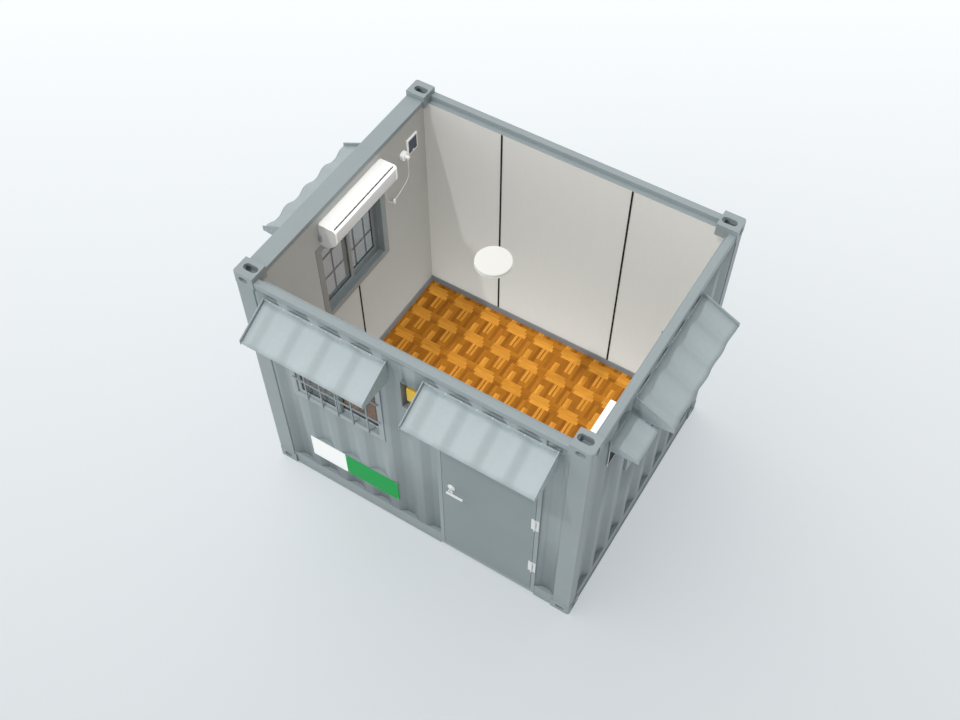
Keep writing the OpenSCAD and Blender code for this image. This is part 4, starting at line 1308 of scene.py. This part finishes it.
@dataclass
class AirConditioner:
    """A wall unit: shell with end caps, intake slit, outlet vanes and wall clip."""

    maker: Maker
    wall: Wall
    cap: float = 16.0
    inset: float = 1.5

    def build(self) -> None:
        """Makes the unit's pieces."""
        low, high = self.wall.span("air_conditioner")
        x0, x1, z0, z1 = low[0], high[0], low[2], high[2]
        near, far = low[1], high[1]
        outline = np.array([(x0, z0), (x0 + 78, z0), (x1 - 18, z0 + 72), (x1, z0 + 100),
                            (x1, z1 - 24), (x1 - 16, z1), (x0, z1)])
        ends = [prism(rounded(outline, 12), a, b, Run.V) for a, b in
                ((near, near + self.cap), (far - self.cap, far))]
        make = self.maker.piece
        make("cooler_end_caps", joined(ends), self.wall, SHELL_WHITE, edge=2.0,
             stands_for=("air_conditioner",))
        slit = np.array([(x1 - 34, z1 - 2), (x1 - 34, z1 - 22), (x1 - 20, z1 - 22),
                         (x1 - 17, z1 - 4)])
        shell = np.vstack([outline[:1], [(x0 + 78, z0 + 2)], [(x0 + 84, z0 + 22)], [(x1 - 36, z0 + 70)],
                           [(x1 - 20, z0 + 74)], [(x1 - 2, z0 + 101)], [(x1 - 2, z1 - 20)],
                           slit[::-1], [(x0, z1 - 2)]])
        make("cooler_shell", prism(shell, near + self.cap - 2, far - self.cap + 2, Run.V), self.wall,
             SHELL_WHITE, edge=1.0)
        # The front panel is the white shell painted grey: painted shade on a face turned from the light.
        front = rounded([(x1 - 6, z0 + 104), (x1 - 0.6, z0 + 104), (x1 - 0.6, z1 - 26), (x1 - 6, z1 - 26)], 2)
        make("cooler_front_panel", prism(front, near + self.cap + 3, far - self.cap - 3, Run.V),
             self.wall, SHELL_GREY_AND_PAINTED_SHADE, edge=0.8)
        # Dark blocks in the intake slit and the outlet, and dark ribs in the slit: painted shade inside the
        # openings.
        dark = [block((x1 - 33, near + self.cap, z1 - 21.5), (x1 - 21, far - self.cap, z1 - 16)),
                block((x0 + 92, near + 60, z0 + 25), (x1 - 46, far - 60, z0 + 64))]
        make("cooler_openings_painted_shade", joined(dark), self.wall, DARK_ABS_AND_PAINTED_SHADE, edge=0.6)
        vanes = [prism(rounded([(x0 + 86 + k, z0 + 16 + k), (x0 + 112 + k, z0 + 34 + k),
                                (x0 + 110 + k, z0 + 38 + k), (x0 + 84 + k, z0 + 20 + k)], 1.6, 3),
                       near + 62, far - 62, Run.V) for k in (0, 24)]
        make("cooler_vanes", joined(vanes), self.wall, SHELL_WHITE)
        ribs = [block((x1 - 33.5, y, z1 - 21), (x1 - 20.5, y + 3, z1 - 8))
                for y in np.arange(near + 60, far - 40, 60.0)]
        make("cooler_intake_ribs", joined(ribs), self.wall, DARK_ABS_AND_PAINTED_SHADE)
        clip = block((x0, near - 16, z0 + 60), (x0 + 24, near + 1, z0 + 128))
        make("cooler_wall_clip", clip, self.wall, TRIM_GREY, edge=3.0)


@dataclass
class SupplyLead:
    """The cooler's lead, held at both ends, with its plug and moulded junction."""

    maker: Maker
    wall: Wall
    lining: float = 130.0
    radius: float = 3.5
    # from the cooler to the plug: in from the lining, along the wall, up
    route: tuple = (
        (36, 1665, 2140), (36, 1665, 2120), (35, 1665, 2085), (33, 1668, 2030), (30, 1676, 1970),
        (27, 1689, 1915), (24, 1708, 1865), (21, 1733, 1825), (20, 1764, 1799), (20, 1800, 1791),
        (21, 1838, 1798), (24, 1877, 1814), (28, 1915, 1836), (33, 1950, 1862), (38, 1978, 1893),
        (42, 1995, 1928), (46, 2000, 1970), (49, 1997, 2015), (52, 1992, 2060), (55, 1987, 2100),
        (56, 1985, 2128), (56, 1985, 2146))

    def build(self) -> None:
        points = self.wall.place(np.array(self.route, float) + (self.lining, 0, 0))
        curve = bpy.data.curves.new("cooler_lead", "CURVE")
        curve.dimensions = "3D"
        curve.bevel_depth, curve.bevel_resolution = self.radius * MM, 3
        curve.use_fill_caps = True
        spline = curve.splines.new("POLY")
        spline.points.add(len(points) - 1)
        spline.points.foreach_set("co", np.hstack([points, np.ones((len(points), 1))]).ravel())
        spline.use_smooth = True
        lead = placed("cooler_lead", curve)
        curve.materials.append(SHEATH.material())
        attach(lead, CABIN)
        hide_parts("ac_lead")
        x, y, z = np.array(self.route[0], float) + (self.lining, 0, 0)
        boot = self.maker.piece(
            "cooler_lead_boot", lathe([(8.5, 0), (8, 4), (4.6, 34), (4.2, 36)], (x, y, z), Run.Z, 20, -1),
            self.wall, SHEATH)
        with_pieces = [boot, self.plug(), self.junction()]

    def plug(self) -> bpy.types.Object:
        """Makes the round plug, its grip ribs and the boot that the lead leaves by."""
        low, high = self.wall.span("ac_plug")
        y, z = (low[1] + high[1]) / 2, (low[2] + high[2]) / 2
        r = (high[2] - low[2]) / 2
        body = lathe([(r, 0), (r, 20), (r - 3, 24), (r - 3, 29), (r - 5, 33), (4, 34)],
                     (low[0], y, z), Run.U, 36)
        boot = lathe([(8, 0), (7.5, 6), (4.8, 22), (4.2, 24)],
                     (low[0] + 18, y, z - r + 3), Run.Z, 20, -1)
        return self.maker.piece("lead_plug", joined([body, boot]), self.wall, SHELL_WHITE, edge=0.8,
                                stands_for=("ac_plug",))

    def junction(self) -> bpy.types.Object:
        """Makes the moulded junction, a rounded capsule."""
        low, high = self.wall.span("lead_junction")
        x, y = (low[0] + high[0]) / 2, (low[1] + high[1]) / 2
        r, tall = (high[0] - low[0]) / 2, high[2] - low[2]
        angle = np.linspace(0.1, np.pi - 0.1, 15)
        line = list(zip(r * np.sin(angle) ** 0.6, tall / 2 * (1 - np.cos(angle))))
        return self.maker.piece("lead_junction_body", lathe(line, (x, y, low[2]), Run.Z, 28), self.wall,
                                SHELL_WHITE, stands_for=("lead_junction",))


@dataclass
class WallFittings:
    """The socket and the small distribution board."""

    maker: Maker
    wall: Wall

    def build(self) -> None:
        """Makes both."""
        self.maker.softened("socket", SHELL_WHITE, 4.0)
        low, high = self.wall.span("socket")
        y, z = (low[1] + high[1]) / 2, (low[2] + high[2]) / 2
        rim = lathe([(27, -0.4), (27, 1.6), (24, 1.6), (23, -0.2)], (high[0], y, z), Run.U, 40)
        self.maker.piece("socket_rim", rim, self.wall, SHELL_GREY_AND_PAINTED_SHADE)
        self.board()

    def board(self) -> None:
        """Makes the board: white case, smoked door with a gap round it, and a catch."""
        low, high = self.wall.span("distribution_board")
        x0, x1 = low[0], high[0]
        case = block((x0, low[1], low[2]), (x1 - 5, high[1], high[2]))
        self.maker.piece("board_case", case, self.wall, SHELL_WHITE, edge=4.0,
                         stands_for=("distribution_board",))
        face = block((x1 - 6, low[1] + 18, low[2] + 18), (x1 - 0.5, high[1] - 18, high[2] - 18))
        self.maker.piece("board_door", face, self.wall, BOARD_FACE, edge=2.0)
        middle = (low[1] + high[1]) / 2
        catch = block((x1 - 1, middle - 11, low[2] + 24), (x1, middle + 11, low[2] + 32))
        self.maker.piece("board_catch", catch, self.wall, SHELL_WHITE, edge=1.0)


@dataclass
class WallFan:
    """The extractor: duct and flange outside, housing with guard and blades inside."""

    maker: Maker
    wall: Wall
    inner: float = 90.0
    bore: float = 113.0
    blades: int = 5
    centre_z: float = 2110.0

    def build(self) -> None:
        """Makes the fan's pieces and its hood."""
        low, high = self.wall.span("wall_fan")
        u, z = (low[0] + high[0]) / 2, self.centre_z
        face = high[1]
        make, wall = self.maker.piece, self.wall
        r = self.bore
        housing = mitred(low[0], high[0], z - 150, high[2], rounded(
            [(0, self.inner), (0, face - 7), (30, face - 7), (30, self.inner)], 4))
        top = block((low[0] + 6, self.inner, high[2] - 34), (high[0] - 6, face - 12, high[2] - 0.4))
        make("fan_housing_top", top, wall, SHELL_WHITE, edge=1.0)
        make("fan_housing", housing, wall, SHELL_WHITE, stands_for=("wall_fan",))
        # The dark back inside the housing and the dark block in the lead hole are painted shade.
        make("fan_back_painted_shade", block((low[0] + 20, self.inner, z - 135), (high[0] - 20, face - 24, high[2] - 20)),
             wall, DARK_ABS_AND_PAINTED_SHADE, edge=2.0)
        lead_hole = block((u - 50, self.inner + 20, high[2] - 3), (u - 30, self.inner + 32, high[2]))
        make("fan_lead_hole_painted_shadow", lead_hole, wall, DARK_ABS_AND_PAINTED_SHADE, edge=1.0)
        make("fan_blades", self.rotor(u, z, face - 18), wall, SHELL_GREY_AND_PAINTED_SHADE, edge=0.4)
        make("fan_guard", self.guard(u, z, face - 3.2, r), wall, SHELL_WHITE)
        flange = mitred(u - 140, u + 140, z - 140, z + 140,
                        rounded([(4, 9), (26, 9), (26, 14), (4, 14)], 1.5, 3))
        duct = mitred(u - 125, u + 125, z - 125, z + 125, [(0, 14), (12, 14), (12, 88), (0, 88)])
        rim = mitred(u - 140, u + 140, z - 140, z + 140,
                     rounded([(0, 8), (5, 8), (5, 14), (0, 14)], 1, 2))
        make("fan_outer_flange", flange, wall, DARK_ABS_AND_PAINTED_SHADE)
        make("fan_outer_rim", rim, wall, SHELL_WHITE)
        make("fan_duct", duct, wall, PAINT, edge=0.6)
        # The dark plate behind the louvre is painted shade inside the duct.
        make("fan_louvre_back_painted_shade", block((u - r, 60, z - r), (u + r, 76, z + r)), wall, DARK_ABS_AND_PAINTED_SHADE)
        slats = [prism(rounded([(22, level), (46, level + 26), (44, level + 28), (20, level + 2)], 1, 3),
                       u - r, u + r, Run.U) for level in np.arange(z - r + 4, z + r - 34, 36.0)]
        make("fan_louvre", joined(slats), wall, DARK_ABS_AND_PAINTED_SHADE)
        self.hood()

    def rotor(self, u: float, z: float, v: float) -> Shape:
        """Makes the hub and its blades, each a twisted plate."""
        parts = [lathe([(26, -6), (26, 6), (20, 10), (4, 11)], (u, v, z), Run.V, 28)]
        for k in range(self.blades):
            turn = 2 * math.pi * k / self.blades
            out = np.linspace(24, 98, 7)
            chord = np.linspace(-0.32, 0.32, 6)
            radius, spread = np.meshgrid(out, chord, indexing="ij")
            angle = turn + spread * (1.2 - radius / 200)
            lift = v + 14 * spread
            top = np.stack([u + radius * np.cos(angle), lift + 0.9, z + radius * np.sin(angle)], axis=2)
            under = top - (0, 1.8, 0)
            rows, columns = top.shape[:2]
            count = rows * columns
            faces = grid_faces(rows, columns)
            ring = ([j for j in range(columns)] + [(i + 1) * columns - 1 for i in range(1, rows)]
                    + [(rows - 1) * columns + j for j in range(columns - 2, -1, -1)]
                    + [i * columns for i in range(rows - 2, 0, -1)])
            rim = [[a, b, b + count, a + count] for a, b in zip(ring, ring[1:] + ring[:1])]
            parts.append(Shape(np.vstack([top.reshape(-1, 3), under.reshape(-1, 3)]),
                               faces + [[i + count for i in f[::-1]] for f in faces] + rim))
        return joined(parts)

    def guard(self, u: float, z: float, v: float, r: float) -> Shape:
        """Makes the finger guard: rings of wire and eight spokes."""
        angle = np.linspace(0, 2 * np.pi, 49)
        rings = [tube(np.stack([u + q * np.cos(angle), np.full(49, v), z + q * np.sin(angle)], axis=1),
                      1.3, 6) for q in np.arange(28, r, 12.0)]
        rings += [tube([(u + 22 * math.cos(a), v - 1.5, z + 22 * math.sin(a)),
                        (u + r * math.cos(a), v - 1.5, z + r * math.sin(a))], 1.5, 6)
                  for a in np.arange(8) * math.pi / 4]
        return joined(rings)

    def hood(self) -> None:
        """Makes the hood: a sheet with one shallow hollow between two cheeks."""
        low, high = self.wall.span("fan_hood")
        left, right, reach = low[0], high[0], low[1]
        top, outer, face, steel, lip = 2290.0, 2230.0, 14.0, 3.0, 12.0
        u = np.linspace(left + steel, right - steel, 61)
        share = np.linspace(0, 1, 7)[:, None]
        hollow = 9 * np.clip(1 - np.abs(u - u.mean()) / 95, 0, 1) ** 2
        hollow = hollow * (3 - 2 * np.clip(1 - np.abs(u - u.mean()) / 95, 0, 1))
        v = face - 1 + (reach - face + 1) * share
        z = top + (outer - top) * share - hollow[None, :]
        points = np.stack(np.broadcast_arrays(u[None, :], v, z), axis=2).reshape(-1, 3)
        make = self.maker.piece
        make("fan_hood_sheet", Shape(points, grid_faces(7, len(u))), self.wall, AWNING_PAINTED_LIGHT,
             thickness=steel, stands_for=("fan_hood",), sharp=60)
        outline = [(face, top + lip), (reach, outer + lip), (reach, outer - 22), (face, top - 90)]
        cheeks = [prism(outline, a, a + steel, Run.U) for a in (left, right - steel)]
        make("fan_hood_cheeks", joined(cheeks), self.wall, AWNING_PAINTED_LIGHT, edge=0.8)
        flange = block((left, face - steel, top - 30), (right, face, top + 20))
        make("fan_hood_flange", flange, self.wall, AWNING_PAINTED_LIGHT, edge=0.8)
        closure(self.maker, self.wall, "fan_hood", "fan_hood_closure", top + 18, 0.0)


@dataclass
class SupplyInlet:
    """The power inlet in its recess: flanged plate, round capped body and screws."""

    maker: Maker
    wall: Wall
    knob: float = 18.0

    def build(self) -> None:
        """Makes the recess and the inlet."""
        # The recess takes the darkened wall paint, which paints shade.
        self.maker.softened("inlet_box", RECESS_PAINTED_SHADE, 0.7)
        low, high = self.wall.span("power_inlet")
        u, z = (low[0] + high[0]) / 2, (low[2] + high[2]) / 2
        back, front = high[1], low[1] + self.knob
        plate = prism(oblong(low[0], high[0], low[2], high[2], 9), front, back, Run.V)
        make = self.maker.piece
        make("inlet_plate", plate, self.wall, YELLOW, edge=2.0, stands_for=("power_inlet",))
        body = lathe([(24, 0), (24, 4), (20, 6), (20, 13), (18, 16), (3, 16)], (u, front, z), Run.V, 36, -1)
        make("inlet_cap", body, self.wall, YELLOW, edge=0.6)
        ears = [lathe(dome_head(4.5, 2), (low[0] + 9 + s * (high[0] - low[0] - 18), front,
                                          low[2] + 9 + t * (high[2] - low[2] - 18)), Run.V, 12, -1)
                for s in (0, 1) for t in (0, 1)]
        make("inlet_screws", joined(ears), self.wall, ZINC)


@dataclass
class Sign:
    """Two bare plates, white and green, riveted to the crests, with a closed top edge."""

    maker: Maker
    wall: Wall
    split: float = 775.0

    def build(self) -> None:
        """Makes both plates and their rivets."""
        low, high = self.wall.span("sign_board")
        halves = (("sign_white_plate", low[0], self.split - 0.6, SIGN_WHITE, ("sign_board",)),
                  ("sign_green_plate", self.split + 0.6, high[0], SIGN_GREEN, ()))
        rivets = []
        for name, left, right, finish, stands_for in halves:
            plate = prism(oblong(left, right, low[2], high[2], 5), low[1] + 1.6, high[1], Run.V)
            self.maker.piece(name, plate, self.wall, finish, edge=0.7, stands_for=stands_for)
            rivets += [lathe(dome_head(3.6, 1.5), (u, low[1] + 1.6, z), Run.V, 12, -1)
                       for u in (left + 14, right - 14) for z in (low[2] + 14, high[2] - 14)]
        self.maker.piece("sign_rivets", joined(rivets), self.wall, ZINC)
        closure(self.maker, self.wall, "sign_board", "sign_closure", high[2] - 1.0, 0.0)


@dataclass
class CeilingLight:
    """A round opal lamp, flat above, with a white bezel round its side."""

    maker: Maker
    wall: Wall

    def build(self) -> None:
        """Makes the diffuser and the bezel."""
        low, high = self.wall.span("ceiling_light")
        centre = ((low[0] + high[0]) / 2, (low[1] + high[1]) / 2, 0)
        r, z0, z1 = (high[0] - low[0]) / 2, low[2], high[2]
        angle = np.linspace(0, np.pi / 2, 9)
        shoulder = list(zip(r - 11 + 10 * np.cos(angle), z1 - 10 + 10 * np.sin(angle)))
        bowl = [(3, z0 + 1), (r * 0.55, z0 + 3), (r * 0.85, z0 + 11), (r - 4, z0 + 24), (r - 1, z0 + 32)]
        self.maker.piece("light_diffuser", lathe(bowl + shoulder + [(3, z1)], centre, Run.Z, 96),
                         self.wall, OPAL, stands_for=("ceiling_light",))
        ring = [(r - 6, z0 + 24), (r - 1, z0 + 23), (r, z0 + 25), (r, z0 + 33), (r - 4, z0 + 34)]
        self.maker.piece("light_bezel", lathe(ring, centre, Run.Z, 96), self.wall, SHELL_WHITE)


# ---------------------------------------------------------------- studio


@dataclass
class Studio:
    """The pale floor, soft sky, one key lamp and the camera."""

    sky: float = 0.76
    sky_slant: float = 0.66  # how much dimmer it is from the right
    key: float = 0.8
    key_angle: float = 2.0
    key_travel: tuple = (0.22, 0.45, -1.0)
    fill: float = 33.0
    fill_size: tuple = (2.5, 2.0)
    fill_height: float = 3.45
    bounce: float = 11.5
    bounce_size: tuple = (2.7, 2.15)
    bounce_height: float = 0.2
    floor_size: float = 400.0
    open_floor: tuple = (7.0, 16.0)  # from here to here it turns as pale as the backdrop
    eye: tuple = (2.8739, -4.8502, 9.0388)
    turn_degrees: tuple = (35.414, 0.0, 31.707)
    lens: float = 43.06
    away: tuple = (-0.526, 0.851, 0.0)  # over the floor, the way that the camera looks
    fade: tuple = (-2.7, 6.3)  # from here to here along it, the floor turns from one tint to the other
    tints: tuple = ("#8f9396", "#bcbfc1")
    floor_colour: str = "#cdd1d3"
    backdrop: str = "#f4f6f8"

    def build(self) -> None:
        """Makes the camera, floor, sky and lamp, with colours shown as they are lit."""
        bpy.context.scene.view_settings.view_transform = "Standard"
        self.camera()
        floor = self.floor()
        self.world()
        self.lamp(floor)

    def camera(self) -> None:
        """Sets the camera."""
        data = bpy.data.cameras.new("studio_camera")
        data.lens, data.sensor_width = self.lens, 36.0
        data.clip_end = 500.0
        camera = placed("studio_camera", data)
        camera.location = self.eye
        camera.rotation_euler = [math.radians(a) for a in self.turn_degrees]
        bpy.context.scene.camera = camera

    def seen(self, tree: bpy.types.NodeTree) -> bpy.types.NodeSocket:
        """Returns 1 for rays from the camera, a mirror or glass, and 0 for light's own."""
        path = add(tree, "LightPath")
        rays = [path.outputs[f"Is {kind} Ray"] for kind in ("Camera", "Glossy", "Transmission")]
        return combined(tree, "MAXIMUM", *rays)

    def floor(self) -> bpy.types.Object:
        """Lays the floor, which keeps the object's shadow and is paler away from it."""
        half = self.floor_size / 2
        mesh = bpy.data.meshes.new("studio_floor")
        mesh.from_pydata([(-half, -half, 0), (half, -half, 0), (half, half, 0), (-half, half, 0)], [],
                         [(0, 1, 2, 3)])
        floor = placed("studio_floor", mesh)
        material = bpy.data.materials.new("studio_floor")
        tree = emptied(material)
        at = place(tree)
        along = add(tree, "VectorMath", {0: at, 1: self.away}, operation="DOT_PRODUCT").outputs["Value"]
        out = add(tree, "VectorMath", {0: at}, operation="LENGTH").outputs["Value"]
        pale = combined(tree, "MAXIMUM", ranged(tree, along, 0.0, 1.0, *self.fade),
                        ranged(tree, out, 0.0, 1.0, *self.open_floor))
        tint = add(tree, "ValToRGB", {0: pale})
        for stop, code in zip(tint.color_ramp.elements, self.tints):
            stop.color = linear(code)
        strength = ranged(tree, self.seen(tree), 0.4, 1.0)
        glow = add(tree, "Emission", {"Color": tint.outputs[0], "Strength": strength})
        matt = add(tree, "BsdfDiffuse", {"Color": linear(self.floor_colour)})
        add(tree, "OutputMaterial", {"Surface": add(tree, "AddShader", {0: glow, 1: matt})})
        mesh.materials.append(material)
        return floor

    def world(self) -> None:
        """Lights from all round, less from the right, and shows a pale backdrop."""
        world = bpy.data.worlds.new("studio_sky")
        bpy.context.scene.world = world
        tree = emptied(world)
        aim = add(tree, "SeparateXYZ", {"Vector": add(tree, "TexCoord").outputs["Generated"]})
        left, right = self.sky * (1 + self.sky_slant), self.sky * (1 - self.sky_slant)
        light = add(tree, "Background", {"Color": (1.0, 1.0, 1.0, 1.0),
                                         "Strength": ranged(tree, aim.outputs["X"], left, right, -1.0)})
        backdrop = add(tree, "Background", {"Color": linear(self.backdrop), "Strength": 1.0})
        both = add(tree, "MixShader", {0: self.seen(tree), 1: light, 2: backdrop})
        add(tree, "OutputWorld", {"Surface": both})

    def lamp(self, floor: bpy.types.Object) -> None:
        """Hangs the key lamp, which lights everything but the floor."""
        data = bpy.data.lights.new("key", "SUN")
        data.energy, data.angle = self.key, math.radians(self.key_angle)
        lamp = placed("key", data)
        x, y, z = self.key_travel
        lamp.rotation_euler = (math.atan2(math.hypot(x, y), -z), 0.0, math.atan2(-x, y))
        unlit = bpy.data.collections.new("floor_unlit")
        unlit.objects.link(floor)
        lamp.light_linking.receiver_collection = unlit
        unlit.collection_objects[0].light_linking.link_state = "EXCLUDE"

    def indoor_light(self, upper: tuple, walls: tuple) -> None:
        """Hangs a soft panel over the open top, and lays one that adds the floor's bounce.

        Args:
            upper: the finishes of the pieces that the upper panel lights.
            walls: the finishes of the pieces that the lower panel lights.
        """
        self.panel("indoor_fill", self.fill, self.fill_size, self.fill_height, 0.0, upper)
        self.panel("indoor_bounce", self.bounce, self.bounce_size, self.bounce_height, math.pi, walls)

    def panel(self, name: str, power: float, size: tuple, height: float, turn: float,
              finishes: tuple) -> None:
        """Adds an unseen panel that lights only pieces of the given finishes.

        Args:
            name: the panel's name.
            power: its power in watts.
            size: its length and width in metres.
            height: its height above the floor in metres.
            turn: 0 to shine down, pi to shine up.
            finishes: the finishes of the pieces that it lights.
        """
        data = bpy.data.lights.new(name, "AREA")
        data.shape, data.energy = "RECTANGLE", power
        data.size, data.size_y = size
        panel = placed(name, data)
        panel.location, panel.rotation_euler = (0.0, 0.0, height), (turn, 0.0, 0.0)
        panel.visible_camera = panel.visible_glossy = panel.visible_transmission = False
        lit = bpy.data.collections.new(name + "_receivers")
        names = {finish.name for finish in finishes}
        for piece in bpy.context.scene.objects:
            if piece.type in ("MESH", "CURVE") and piece.data.materials and (
                    piece.data.materials[0].name in names):
                lit.objects.link(piece)
        panel.light_linking.receiver_collection = lit


# ---------------------------------------------------------------- the whole


def corners(bounds: tuple) -> list:
    """Returns a box's two corners as plain lists."""
    return [[float(x) for x in corner] for corner in bounds]


def main() -> None:
    """Builds the cabin's looks in order and reports each piece."""
    logging.basicConfig(level=logging.INFO, format="%(name)s %(message)s")
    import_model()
    sides = walls()
    front, right, left = sides[Side.FRONT], sides[Side.RIGHT], sides[Side.LEFT]
    maker = Maker()
    studio = Studio()
    studio.build()
    SupplyLead(maker, front).build()
    SteelFrame(maker, sides).build()
    clad(maker, sides)
    # The left awning takes the greyer copy, which paints shade.
    for wall, node, finish in ((front, "awning_front", AWNING_PAINTED_LIGHT), (front, "awning_door", AWNING_PAINTED_LIGHT),
                               (left, "awning_left", AWNING_PAINTED_SHADE), (right, "awning_right", AWNING_PAINTED_LIGHT)):
        Awning(maker, wall, node, finish).build()
    for wall, name, inner in ((front, "front", 105.0), (left, "left", 130.0), (right, "right", 90.0)):
        Window(maker, wall, name, inner).build()
    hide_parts("window_glass")
    for part, wall in ((Doorway, front), (Room, front), (AirConditioner, front), (WallFittings, front),
                       (WallFan, right), (SupplyInlet, front), (Sign, front), (CeilingLight, front)):
        part(maker, wall).build()
    studio.indoor_light(upper=(PARQUET, PLY, TRIM_GREY, SHELL_WHITE, SHELL_GREY_AND_PAINTED_SHADE, SHEATH, GLASS),
                        walls=(LINING, LINING_PAINTED_SHADE, LINING_PAINTED_DEEP_SHADE, GLASS))
    LOG.info("%d pieces", len(maker.made))


if __name__ == "__main__":
    main()
